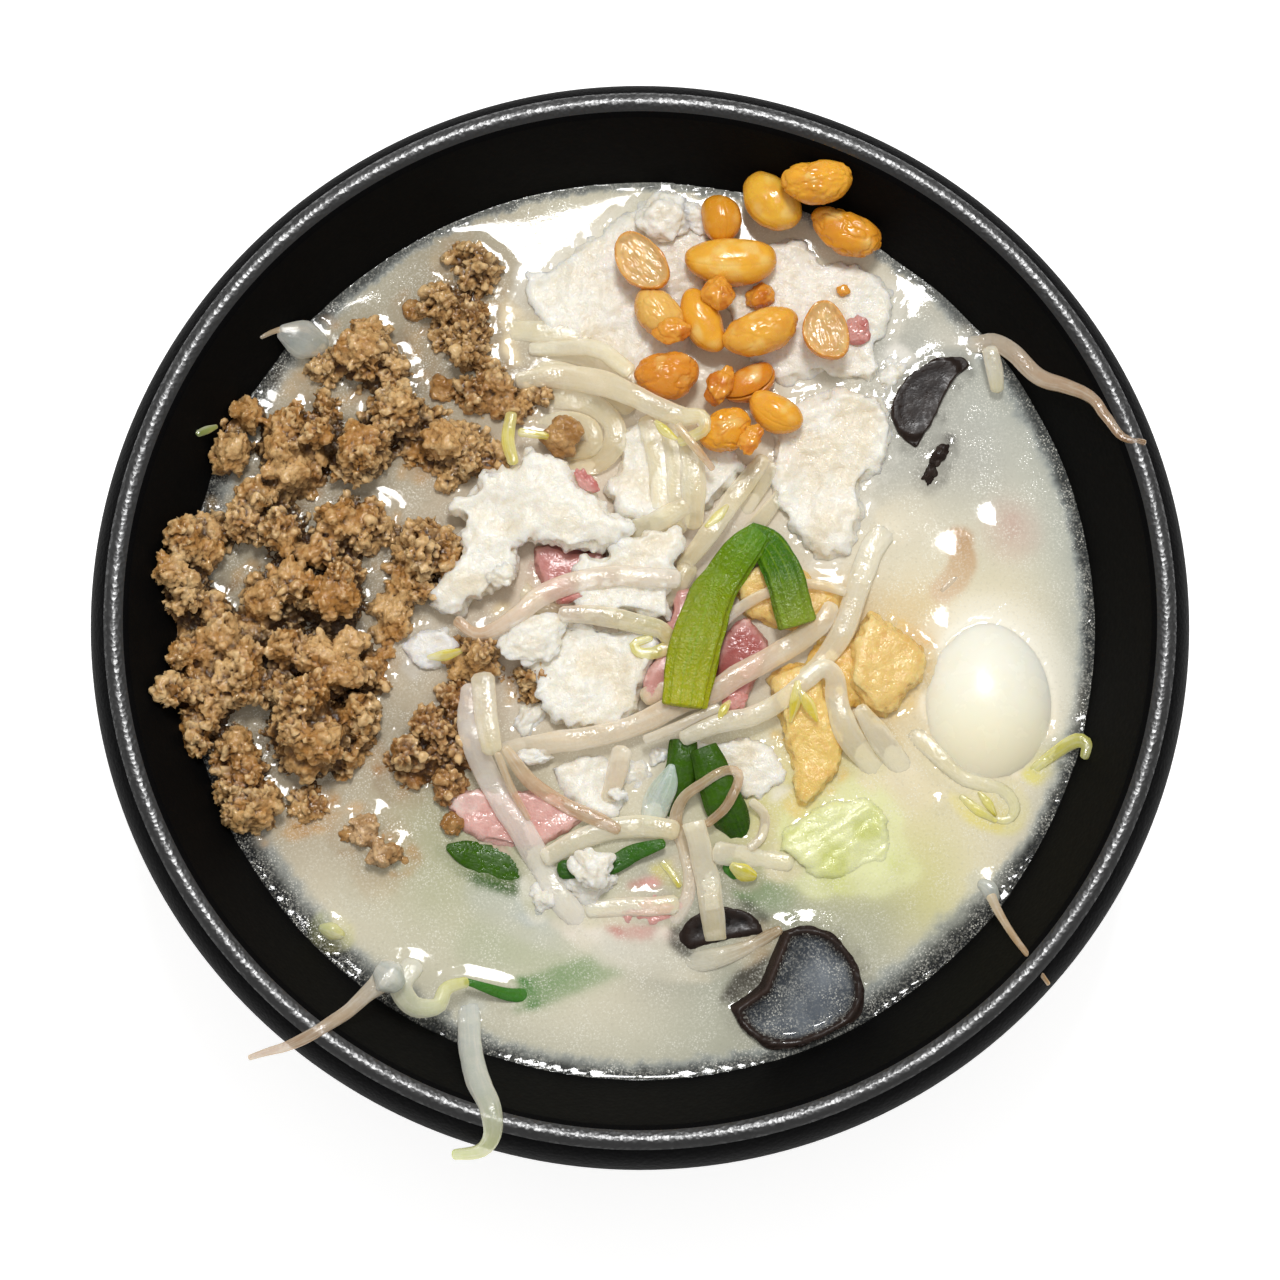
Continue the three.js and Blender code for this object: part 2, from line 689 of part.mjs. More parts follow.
placeStrand('sprout_hook', 'sprout', [
  [8, -21.5, 3, 0], [14, -19, 3.6, 0], [20, -17.5, 3.8, 0], [26, -14.5, 3.6, 0], [30, -11, 3.4, 0], [33, -9, 3.4, 0],
  [35, -10.5, 3.6, 0], [35.5, -14.5, 4.2, 0], [37, -19.5, 4.8, 0], [41, -24.5, 5, 1], [45.5, -29.5, 4.8, 2.6],
  [48.5, -33.5, 4, 4],
]);
placeStrand('sprout_loop', 'sprout', [
  [-30, -12.5, 4.2, 0], [-30.5, -18.5, 4.6, 0], [-29, -24.5, 4.6, 0], [-25.5, -31.5, 4.6, 0], [-21, -38.5, 4.6, 0],
  [-17, -45.5, 4.6, 1.6], [-13, -51.5, 4.6, 2], [-8, -56.5, 4.4, 2], [-3, -59, 4.2, 2], [1, -58.5, 4, 2],
  [5, -55, 3.6, 1.4], [8.5, -50.5, 3, 0.6], [9, -46.5, 2.6, 0], [8, -41.5, 2.4, 0], [6.2, -36, 2.4, 0],
  [7.5, -32.5, 2.2, 0], [11, -30, 2, 0], [16, -27.5, 1.8, 0], [17.8, -28, 1.8, 0], [16, -33.5, 1.8, 0],
  [12, -37, 1.6, 0],
]);

// ---- sprouts over the lip ------------------------------------------------------------------------------
placeStrand('sprout_lip_right', 'sprout', [
  [55, 53.5, 3, 1.8], [62, 52, 3.6, 1.4], [65, 51.8, 3.6, 0.6], [68.5, 49, 3.4, 0], [72.5, 44.5, 3.2, 0],
  [77, 42, 2.8, 0], [81.5, 39, 2.4, 0], [84, 35, 2, 0], [86.5, 31.5, 1.6, 0], [90.5, 30.5, 1.2, 0],
], { slope: 0.9, step: 4 });
placeStrand('sprout_lip_left', 'sprout', [
  [-43.5, -64, 6, 3], [-47, -67.3, 3.4, 0.6], [-53.5, -73.2, 2.4, 0], [-60.5, -77, 2, 0], [-68.5, -79.5, 1, 0],
], { slope: 0.4, step: 5 });
placeStrand('sprout_lip_front', 'sprout', [
  [-30.5, -69.5, 4, 1.6], [-30, -76, 4.4, 0], [-28.5, -82.5, 4.2, 0], [-26, -88.5, 3.8, 0], [-25.6, -92.5, 3.2, 0],
  [-27.5, -95.2, 2.6, 0], [-32.5, -96, 2, 0],
], { slope: 0.9, step: 4 });

// ---- folded chive on top --------------------------------------------------------------------------------
placeStrand('chive_fold', 'chive', [
  [8, -16, 6.4, 0], [9.5, -7, 7.4, 0], [11.5, 0.5, 7.4, 0], [14, 6, 6.6, 0], [17, 10, 6.6, 0], [20.5, 14.5, 6.6, 0],
  [24.2, 15.6, 5.4, 0], [26.2, 11.5, 5.6, 0], [27.6, 5, 6.2, 0], [28.5, -1, 6.6, 0],
], { flat: 0.3, sides: 8 });

// ---- cutting back, then the broth round everything ----------------------------------------------------------
function meets(a, b) {
  const p = a.boundingBox();
  const q = b.boundingBox();
  return [0, 1, 2].every((k) => p.min[k] < q.max[k] && q.min[k] < p.max[k]);
}

const group = new THREE.Group();
group.name = 'noodle_soup';

function show(name, finish, solid) {
  const [color, roughness] = FINISH[finish];
  const material = new THREE.MeshStandardMaterial({ color, roughness, metalness: 0 });
  material.name = finish;
  const mesh = new THREE.Mesh(geometryOf(solid), material);
  mesh.name = name;
  group.add(mesh);
}

const grown = pile.map(({ make }) => make(GAP));
show('bowl', 'bowl', bowl);
pile.forEach(({ name, finish, make }, i) => {
  let solid = make(0).subtract(clearance);
  grown.slice(i + 1).forEach((cutter) => {
    if (meets(solid, cutter)) solid = solid.subtract(cutter);
  });
  show(name, finish, largest(solid));
});

const pool = turned([[0, 4], [R_CROWN, 4], [R_CROWN, LEVEL], [0, LEVEL]]).subtract(clearance);
const broth = grown.reduce((rest, cutter) => (meets(rest, cutter) ? rest.subtract(cutter) : rest), largest(pool));
show('broth', 'broth', largest(broth));

export default group;
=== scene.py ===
"""Bowl of rice noodle soup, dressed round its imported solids.

A dark satin bowl holds milky broth with browned minced meat, white fish-paste slices, ham, fried
tofu, a peeled quail egg, roasted soybeans, cabbage, wood ear, chive, noodles and bean sprouts.
Shapes are worked out in millimetres and made metres when a piece is published.
"""

import itertools
import logging
import math
from dataclasses import dataclass
from enum import Enum
from typing import NamedTuple

import bmesh
import bpy
import numpy as np
from mathutils import Matrix, Vector


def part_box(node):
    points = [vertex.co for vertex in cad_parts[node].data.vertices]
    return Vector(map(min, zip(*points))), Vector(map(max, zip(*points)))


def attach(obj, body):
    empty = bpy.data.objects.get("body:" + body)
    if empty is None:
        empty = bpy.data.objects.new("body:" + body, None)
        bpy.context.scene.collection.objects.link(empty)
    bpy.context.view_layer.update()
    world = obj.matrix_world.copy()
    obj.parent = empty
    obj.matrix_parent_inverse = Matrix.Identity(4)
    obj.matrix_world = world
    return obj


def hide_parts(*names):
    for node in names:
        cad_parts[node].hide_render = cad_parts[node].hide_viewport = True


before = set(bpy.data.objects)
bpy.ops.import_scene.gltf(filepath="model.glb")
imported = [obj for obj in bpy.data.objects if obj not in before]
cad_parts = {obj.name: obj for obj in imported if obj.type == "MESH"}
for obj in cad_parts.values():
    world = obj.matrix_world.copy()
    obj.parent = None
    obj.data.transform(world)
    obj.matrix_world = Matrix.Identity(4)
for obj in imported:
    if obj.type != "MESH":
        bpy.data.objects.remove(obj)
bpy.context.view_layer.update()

Array = np.ndarray
Mesh = bpy.types.Mesh
Socket = bpy.types.NodeSocket

log = logging.getLogger("noodle_soup")

MM = 0.001
BODY = "root"
LEVEL = 60.0  # height of the broth's surface
R_BROTH = 82.0  # radius of the broth at that height
WALL_COLOUR = "#17181A"
BROTH_COLOUR = "#DDD2B4"
LIP_TAKEN = 5  # how many points of the lip a stalk can rest on

# The bowl's section as radius and height: the inner wall from the floor up, over the lip, down
# the outside, and round the foot ring to the middle of its underside.
WALL = [(0, 9.5), (36, 9.5), (53, 17), (66.5, 30.5), (76, 46.5), (82, 60), (90.3, 72.3)]
LIP = [
    (91.9, 74.3), (94.1, 75.4), (96.6, 73.6), (98.2, 70.6), (99, 66.4), (97.4, 62.9), (89.2, 64.2),
]
SHELL = [(85.5, 56), (79.5, 42), (70.5, 26), (48, 6.5)]
FOOT = [(46, 0.5), (45.4, 0), (42.6, 0), (42, 0.5), (41, 4), (0, 4)]


# ---- colours and noise -----------------------------------------------------------------------


def shade(code: str) -> Array:
    """Linear red, green and blue of a #RRGGBB code."""
    value = np.array([int(code[i : i + 2], 16) / 255 for i in (1, 3, 5)])
    return np.where(value <= 0.04045, value / 12.92, ((value + 0.055) / 1.055) ** 2.4)


def rgba(code: str) -> tuple[float, float, float, float]:
    """Linear colour of a #RRGGBB code with full alpha."""
    return (*(float(v) for v in shade(code)), 1.0)


def blend(first: Array, second: Array, share: Array) -> Array:
    """Colours between two colours, one for each share from 0 to 1."""
    weight = np.clip(share, 0, 1)[:, None]
    return first * (1 - weight) + second * weight


def tinted(colour: Array, code: str, share: Array) -> Array:
    """A colour blended with that of a #RRGGBB code."""
    return blend(colour, shade(code), share)


def columns(*parts: Array | float) -> Array:
    """Rows made of columns; a single number fills its column."""
    return np.stack(np.broadcast_arrays(*parts), axis=1)


def rising(value: Array, low: float, high: float) -> Array:
    """Smooth step from 0 at low to 1 at high."""
    t = np.clip((value - low) / (high - low), 0, 1)
    return t * t * (3 - 2 * t)


def scatter(cell: Array, seed: int) -> Array:
    """Repeatable numbers from 0 to 1, one for each whole-number cell."""
    n = cell[..., 0] * 73856093 ^ cell[..., 1] * 19349663 ^ cell[..., 2] * 83492791
    n = n + seed * 374761393
    n = (n ^ (n >> 13)) * 1274126177
    n = n ^ (n >> 16)
    return (n & 0xFFFFFF) / 0xFFFFFF


def noise(at: Array, size: float | Array, seed: int = 0) -> Array:
    """Smooth noise.

    Args:
        at: points, in millimetres.
        size: distance over which the noise changes, one number or one for each axis.
        seed: choice of pattern.

    Returns:
        One value between -1 and 1 for each point.
    """
    p = at / size + 31.7 * seed
    base = np.floor(p).astype(np.int64)
    part = p - base
    part = part * part * part * (part * (part * 6 - 15) + 10)
    total = np.zeros(len(at))
    for corner in itertools.product((0, 1), repeat=3):
        pick = np.array(corner)
        total += np.prod(np.where(pick, part, 1 - part), axis=1) * scatter(base + pick, seed)
    return 2 * total - 1


def fractal(at: Array, size: float | Array, octaves: int = 3, seed: int = 0) -> Array:
    """Noise in several sizes, each half as large and half as strong as the last."""
    total = sum(noise(at, size / 2**k, seed + k) / 2**k for k in range(octaves))
    return total / sum(0.5**k for k in range(octaves))


def shaken(at: Array, amount: float, size: float, seed: int) -> Array:
    """Points pushed about by smooth noise, each axis by its own pattern."""
    return at + amount * columns(*(noise(at, size, seed + k) for k in range(3)))


def cells(at: Array, size: float, seed: int = 0) -> tuple[Array, Array, Array]:
    """Cells round scattered seeds.

    Args:
        at: points, in millimetres.
        size: width of a cell.
        seed: choice of pattern.

    Returns:
        Distances, in cells, to the nearest and second nearest seed, and the nearest one's own
        number from 0 to 1.
    """
    p = at / size + 13.3 * seed
    base = np.floor(p).astype(np.int64)
    first = np.full(len(at), 9.0)
    second = np.full(len(at), 9.0)
    own = np.zeros(len(at))
    for corner in itertools.product((-1, 0, 1), repeat=3):
        cell = base + np.array(corner)
        spot = cell + np.stack([scatter(cell, seed + k) for k in (1, 2, 3)], axis=1)
        gap = np.linalg.norm(spot - p, axis=1)
        own = np.where(gap < first, spot[:, 0] * 7.7 % 1, own)
        second = np.minimum(second, np.maximum(first, gap))
        first = np.minimum(first, gap)
    return first, second, own


# ---- mesh tools ------------------------------------------------------------------------------


def places(mesh: Mesh) -> Array:
    """Positions of a mesh's vertices."""
    co = np.empty(len(mesh.vertices) * 3)
    mesh.vertices.foreach_get("co", co)
    return co.reshape(-1, 3)


def facing(mesh: Mesh) -> Array:
    """Normals of a mesh's vertices."""
    way = np.empty(len(mesh.vertices) * 3)
    mesh.vertices.foreach_get("normal", way)
    return way.reshape(-1, 3)


def move(mesh: Mesh, co: Array) -> None:
    """Puts a mesh's vertices at new positions."""
    mesh.vertices.foreach_set("co", co.ravel())
    mesh.update()


def paint(mesh: Mesh, colour: Array) -> None:
    """Stores one colour for each vertex as the mesh's tint."""
    layer = mesh.color_attributes.new("tint", "FLOAT_COLOR", "POINT")
    full = np.ones((len(mesh.vertices), 4))
    full[:, :3] = np.clip(colour, 0, 1)
    layer.data.foreach_set("color", full.ravel())


def relaxed(value: Array, mesh: Mesh, rounds: int) -> Array:
    """Values averaged with their neighbours along the mesh's edges.

    Args:
        value: one row for each vertex.
        mesh: the mesh whose edges join the vertices.
        rounds: how often to average.

    Returns:
        The smoothed rows.
    """
    ends = np.empty(len(mesh.edges) * 2, np.int64)
    mesh.edges.foreach_get("vertices", ends)
    a, b = ends.reshape(-1, 2).T
    count = len(mesh.vertices)
    degree = np.bincount(a, minlength=count) + np.bincount(b, minlength=count) + 1.0
    out = value.copy()
    for _ in range(rounds):
        for k in range(out.shape[1]):
            row = out[:, k]
            total = row + np.bincount(a, row[b], count) + np.bincount(b, row[a], count)
            out[:, k] = total / degree
    return out


def mark_cavity(mesh: Mesh, rounds: int) -> None:
    """Stores how far each vertex stands out of (above 0) or lies in (below 0) its surroundings."""
    co = places(mesh)
    depth = np.einsum("ij,ij->i", co - relaxed(co, mesh, rounds), facing(mesh))
    layer = mesh.attributes.new("cavity", "FLOAT", "POINT")
    layer.data.foreach_set("value", depth.astype(np.float32))


def to_mesh(bm: bmesh.types.BMesh, name: str) -> Mesh:
    """Turns a bmesh into a mesh and frees it."""
    mesh = bpy.data.meshes.new(name)
    bm.to_mesh(mesh)
    bm.free()
    return mesh


def to_bmesh(mesh: Mesh) -> bmesh.types.BMesh:
    """Turns a mesh into a bmesh and removes it."""
    bm = bmesh.new()
    bm.from_mesh(mesh)
    bpy.data.meshes.remove(mesh)
    return bm


def packed(node: str) -> Mesh:
    """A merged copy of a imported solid, in millimetres."""
    bm = bmesh.new()
    bm.from_mesh(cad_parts[node].data)
    bmesh.ops.scale(bm, vec=(1 / MM, 1 / MM, 1 / MM), verts=bm.verts)
    bmesh.ops.remove_doubles(bm, verts=bm.verts, dist=1e-3)
    return to_mesh(bm, node)


def extent(node: str) -> tuple[Array, Array]:
    """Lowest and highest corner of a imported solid, in millimetres."""
    low, high = (np.array(corner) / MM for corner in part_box(node))
    return low, high


def remeshed(mesh: Mesh, voxel: float) -> Mesh:
    """One even skin over everything in a mesh.

    Args:
        mesh: closed bodies that may overlap; it is removed.
        voxel: edge length of the skin's faces, in millimetres.

    Returns:
        The new mesh.
    """
    holder = bpy.data.objects.new(mesh.name + "_raw", mesh)
    bpy.context.scene.collection.objects.link(holder)
    skin = holder.modifiers.new("skin", "REMESH")
    skin.mode = "VOXEL"
    skin.voxel_size = voxel
    ready = holder.evaluated_get(bpy.context.evaluated_depsgraph_get())
    made = bpy.data.meshes.new_from_object(ready)
    bpy.data.objects.remove(holder)
    bpy.data.meshes.remove(mesh)
    return made


def joined(meshes: list[Mesh], name: str) -> Mesh:
    """One mesh made of several."""
    bm = bmesh.new()
    for mesh in meshes:
        bm.from_mesh(mesh)
        bpy.data.meshes.remove(mesh)
    return to_mesh(bm, name)


def ball(detail: int) -> Mesh:
    """Unit ball."""
    bm = bmesh.new()
    bmesh.ops.create_icosphere(bm, subdivisions=detail, radius=1)
    return to_mesh(bm, "ball")


def triangles(mesh: Mesh) -> Array:
    """Rows of the three vertices of each triangle of a mesh."""
    mesh.calc_loop_triangles()
    return np.array([triangle.vertices[:] for triangle in mesh.loop_triangles])


def repeated(shape: Mesh, spots: Array, sizes: Array, rng: np.random.Generator) -> Mesh:
    """Copies of a small shape as one mesh.

    Args:
        shape: the shape, about its own middle.
        spots: where each copy goes.
        sizes: how much each copy is drawn out along each axis.
        rng: source of chance that turns each copy.

    Returns:
        The mesh of all copies.
    """
    co, count = places(shape), len(spots)
    axes = np.linalg.qr(rng.normal(size=(count, 3, 3)))[0]
    axes *= np.sign(np.linalg.det(axes))[:, None, None]
    every = np.einsum("nvk,njk->nvj", co[None] * sizes[:, None], axes) + spots[:, None]
    faces = triangles(shape)[None] + (np.arange(count) * len(co))[:, None, None]
    mesh = bpy.data.meshes.new("copies")
    mesh.from_pydata(every.reshape(-1, 3), [], faces.reshape(-1, 3).tolist())
    return mesh


def lump(detail: int, rough: float, seed: int) -> Mesh:
    """Unit ball with an uneven skin, for scattering."""
    mesh = ball(detail)
    co = places(mesh)
    move(mesh, co * (1 + rough * fractal(co, 0.9, 3, seed))[:, None])
    return mesh


# ---- the plan of what already lies in the bowl -----------------------------------------------


def spread(grid: Array, sigma: float) -> Array:
    """A plan grid blurred by a bell of sigma cells."""
    reach = max(1, int(3 * sigma))
    bell = np.exp(-0.5 * (np.arange(-reach, reach + 1) / sigma) ** 2)
    bell /= bell.sum()
    for axis in (0, 1):
        margin = [(reach, reach) if k == axis else (0, 0) for k in range(grid.ndim)]
        padded = np.pad(grid, margin, mode="edge")
        length = grid.shape[axis]
        grid = sum(w * np.take(padded, range(k, k + length), axis=axis) for k, w in enumerate(bell))
    return grid


class Bed:
    """Height, colour and clearness of the uppermost thing laid so far, on a square plan grid.

    PITCH is the grid's step and REACH half its width, in millimetres. EMPTY stands for the height
    of a cell that a piece leaves free.
    """

    PITCH = 0.5
    REACH = 100.0
    EMPTY = -1e3

    def __init__(self) -> None:
        """Starts with the empty bowl."""
        count = int(2 * self.REACH / self.PITCH) + 1
        self.axis = np.linspace(-self.REACH, self.REACH, count)
        x, y = np.meshgrid(self.axis, self.axis)
        outer = LIP[LIP_TAKEN - 1][0]
        radii, heights = zip(*WALL, *LIP[:LIP_TAKEN], (outer, 0))
        self.height = np.interp(np.hypot(x, y), radii, heights)
        self.colour = np.zeros((count, count, 3)) + shade(WALL_COLOUR)
        self.clear = np.full((count, count), 3.4)

    def cell(self, x: Array, y: Array) -> tuple[Array, Array]:
        """Row and column of plan points."""
        last = len(self.axis) - 1
        col = np.clip(np.rint((x + self.REACH) / self.PITCH), 0, last).astype(int)
        row = np.clip(np.rint((y + self.REACH) / self.PITCH), 0, last).astype(int)
        return row, col

    def add(self, mesh: Mesh, clear: float = 2.0) -> None:
        """Lays a piece down.

        Args:
            mesh: a dense mesh with its tint, in millimetres.
            clear: depth of broth that veils it to a third, in millimetres.
        """
        co = places(mesh)
        tint = np.empty(len(co) * 4)
        mesh.color_attributes["tint"].data.foreach_get("color", tint)
        tint = tint.reshape(-1, 4)[:, :3]
        order = np.argsort(co[:, 2])
        row, col = self.cell(co[order, 0], co[order, 1])
        own = np.full(self.height.shape, self.EMPTY)
        hue = np.zeros(self.colour.shape)
        own[row, col] = co[order, 2]
        hue[row, col] = tint[order]
        bare = own == self.EMPTY
        for shift in itertools.product((-1, 0, 1), repeat=2):
            near = np.roll(own, shift, (0, 1))
            take = bare & (near > own)
            own[take] = near[take]
            hue[take] = np.roll(hue, shift, (0, 1))[take]
        upper = own > self.height
        self.height[upper] = own[upper]
        self.colour[upper] = hue[upper]
        self.clear[upper] = clear

    def top(self, x: Array, y: Array) -> Array:
        """Height of the uppermost surface, the broth where that is higher."""
        row, col = self.cell(x, y)
        return np.maximum(self.height[row, col], LEVEL)

    def seen(self, x: Array, y: Array) -> Array:
        """Colour of the uppermost surface, the broth's where that is higher."""
        row, col = self.cell(x, y)
        out = rising(self.height[row, col], LEVEL - 1, LEVEL)
        return shade(BROTH_COLOUR) * (1 - out[:, None]) + self.colour[row, col] * out[:, None]


def inward(co: Array, reach: float) -> Array:
    """How far points lie inside the plan outline that they fill.

    Args:
        co: points that cover a piece's plan closely.
        reach: distance over which the result rises.

    Returns:
        0 at the outline, rising to 1 inside it.
    """
    plan = Bed()
    row, col = plan.cell(co[:, 0], co[:, 1])
    filled = np.zeros(plan.height.shape)
    filled[row, col] = 1
    filled = spread(filled, reach / Bed.PITCH)
    return rising(filled[row, col], 0.45 * filled.max(), 0.97 * filled.max())


def sunkenness(co: Array, reach: float) -> Array:
    """How far each point of a heap lies under the mean height round it, in millimetres."""
    plan = Bed()
    order = np.argsort(co[:, 2])
    row, col = plan.cell(co[:, 0], co[:, 1])
    height = np.full(plan.height.shape, LEVEL - 1.0)
    height[row[order], col[order]] = co[order, 2]
    return spread(height, reach / Bed.PITCH)[row, col] - co[:, 2]


# ---- shader building -------------------------------------------------------------------------


class Tree:
    """Short calls that add nodes to a node tree and join them."""

    def __init__(self, tree: bpy.types.NodeTree) -> None:
        """Keeps the tree."""
        self.tree = tree

    def feed(self, node: bpy.types.Node, inputs: dict) -> None:
        """Joins sockets to a node's inputs, and sets its other inputs to values."""
        for key, value in inputs.items():
            if isinstance(value, Socket):
                self.tree.links.new(value, node.inputs[key])
            else:
                node.inputs[key].default_value = value

    def add(self, kind: str, inputs: dict | None = None, **settings: object) -> bpy.types.Node:
        """Adds a node.

        Args:
            kind: type of node.
            inputs: values or sockets for its inputs, by name or number.
            settings: the node's own properties.

        Returns:
            The node.
        """
        node = self.tree.nodes.new(kind)
        for key, value in settings.items():
            setattr(node, key, value)
        self.feed(node, inputs or {})
        return node

    def noise(self, at: object, scale: object, detail: float = 3, rough: float = 0.5) -> Socket:
        """Noise from 0 to 1."""
        inputs = {"Vector": at, "Scale": scale, "Detail": detail, "Roughness": rough}
        return self.add("ShaderNodeTexNoise", inputs).outputs[0]

    def seeds(self, at: object, scale: object) -> Socket:
        """Distance to the nearest of scattered seeds."""
        return self.add("ShaderNodeTexVoronoi", {"Vector": at, "Scale": scale}).outputs["Distance"]

    def math(self, how: str, *parts: object) -> Socket:
        """Two or more numbers put together by one operation, from the left."""
        total = parts[0]
        for part in parts[1:]:
            total = self.add("ShaderNodeMath", {0: total, 1: part}, operation=how).outputs[0]
        return total

    def times(self, *parts: object) -> Socket:
        """Product of numbers."""
        return self.math("MULTIPLY", *parts)

    def plus(self, *parts: object) -> Socket:
        """Sum of numbers."""
        return self.math("ADD", *parts)

    def minus(self, first: object, second: object) -> Socket:
        """Difference of two numbers."""
        return self.math("SUBTRACT", first, second)

    def step(self, value: object, low: float, high: float) -> Socket:
        """Smooth step from 0 at low to 1 at high."""
        inputs = {"Value": value, "From Min": low, "From Max": high}
        return self.add("ShaderNodeMapRange", inputs, interpolation_type="SMOOTHSTEP").outputs[0]

    def between(self, value: object, low: float, high: float, full: float = 1.0) -> Socket:
        """A number from low at 0 to high at full."""
        inputs = {"Value": value, "From Max": full, "To Min": low, "To Max": high}
        return self.add("ShaderNodeMapRange", inputs).outputs[0]

    def mix(self, factor: object, a: object, b: object, how: str = "MIX") -> Socket:
        """Two colours mixed."""
        inputs = {0: factor, 6: a, 7: b}
        return self.add("ShaderNodeMix", inputs, data_type="RGBA", blend_type=how).outputs[2]

    def group(self, group: bpy.types.NodeTree, inputs: dict) -> Socket:
        """Places a node group and gives its output."""
        return self.add("ShaderNodeGroup", inputs, node_tree=group).outputs[0]


class Effect(Tree):
    """A node group with one output, shared by several finishes."""

    def __init__(self, name: str, inputs: dict[str, str], output: str, kind: str) -> None:
        """Starts the group.

        Args:
            name: name of the group.
            inputs: type of each input socket by its name.
            output: name of its output.
            kind: type of that output.
        """
        super().__init__(bpy.data.node_groups.new(name, "ShaderNodeTree"))
        sockets = self.tree.interface
        for label, form in inputs.items():
            sockets.new_socket(label, in_out="INPUT", socket_type="NodeSocket" + form)
        sockets.new_socket(output, in_out="OUTPUT", socket_type="NodeSocket" + kind)
        self.given = self.add("NodeGroupInput").outputs

    def close(self, socket: Socket) -> bpy.types.NodeTree:
        """Joins the result to the group's output."""
        self.add("NodeGroupOutput", {0: socket})
        return self.tree


def relief_group() -> bpy.types.NodeTree:
    """Soft bumps in two sizes, and round grains between them with a share of the height."""
    inputs = {"Vector": "Vector", **dict.fromkeys(("Coarse", "Fine", "Share", "Grains"), "Float")}
    tree = Effect("soft relief", inputs, "Height", "Float")
    at, scale = tree.given["Vector"], tree.given["Coarse"]
    fine = tree.times(tree.noise(at, tree.given["Fine"], 3), tree.given["Share"])
    away = tree.seeds(at, scale)
    dome = tree.minus(1.0, tree.times(away, away))
    grains = tree.times(dome, tree.given["Grains"])
    return tree.close(tree.plus(tree.noise(at, scale, 2), fine, grains))


def mottle_group() -> bpy.types.NodeTree:
    """A colour with uneven stains of a second colour and a fine change of brightness."""
    inputs = {
        "Vector": "Vector", **dict.fromkeys(("Color", "Stain"), "Color"),
        **dict.fromkeys(("Scale", "Amount", "Grain"), "Float"),
    }
    tree = Effect("mottle", inputs, "Color", "Color")
    at, scale = tree.given["Vector"], tree.given["Scale"]
    spots = tree.step(tree.noise(at, scale, 4, 0.6), 0.42, 0.68)
    share = tree.times(spots, tree.given["Amount"])
    stained = tree.mix(share, tree.given["Color"], tree.given["Stain"])
    fine = tree.noise(at, tree.times(scale, 5.0), 2)
    swing = tree.times(tree.minus(fine, 0.5), tree.given["Grain"])
    level = tree.plus(1.0, swing)
    bright = tree.add("ShaderNodeCombineXYZ", {0: level, 1: level, 2: level})
    return tree.close(tree.mix(1.0, stained, bright.outputs[0], "MULTIPLY"))


def painted_shading_group() -> bpy.types.NodeTree:
    """A colour turned deeper in hollows as painted shade, and paler on crests as painted light."""
    inputs = {
        **dict.fromkeys(("Color", "Hollow Shade", "Crest Light"), "Color"),
        **dict.fromkeys(("Cavity", "Sharp"), "Float"),
    }
    tree = Effect("painted_shading", inputs, "Color", "Color")
    signed = tree.times(tree.given["Cavity"], tree.given["Sharp"])
    # painted shade where the surface lies in a hollow, painted light where it stands out
    hollow = tree.step(tree.times(signed, -1.0), 0.05, 1.0)
    crest_light = tree.step(signed, 0.1, 1.2)
    sunk = tree.mix(hollow, tree.given["Color"], tree.given["Hollow Shade"])
    return tree.close(tree.mix(crest_light, sunk, tree.given["Crest Light"]))


RELIEF = relief_group()
MOTTLE = mottle_group()
PAINTED_SHADING = painted_shading_group()


class Skin(Tree):
    """A new material's nodes, with what every finish needs."""

    def __init__(self, name: str) -> None:
        """Makes the material."""
        self.material = bpy.data.materials.new(name)
        self.material.use_nodes = True
        super().__init__(self.material.node_tree)
        self.at = self.add("ShaderNodeTexCoord").outputs["Object"]

    def stored(self, name: str, output: str) -> Socket:
        """What the mesh stores under a name."""
        return self.add("ShaderNodeAttribute", attribute_name=name).outputs[output]

    def bump(self, strength: float, distance: float, height: Socket) -> Socket:
        """The normal with a height pressed into it, the distance in millimetres."""
        inputs = {"Strength": strength, "Distance": distance * MM, "Height": height}
        return self.add("ShaderNodeBump", inputs).outputs[0]

    def close(
        self, colour: Socket, rough: Socket, normal: Socket, **more: object
    ) -> bpy.types.Material:
        """Feeds the shader.

        Args:
            colour: its colour.
            rough: its roughness.
            normal: its normal.
            more: other inputs, named in lower case with _ for a space.

        Returns:
            The material.
        """
        shader = self.tree.nodes["Principled BSDF"]
        self.feed(shader, {"Base Color": colour, "Roughness": rough, "Normal": normal})
        names = {name.lower().replace(" ", "_"): name for name in shader.inputs.keys()}
        self.feed(shader, {names[key]: value for key, value in more.items()})
        return self.material


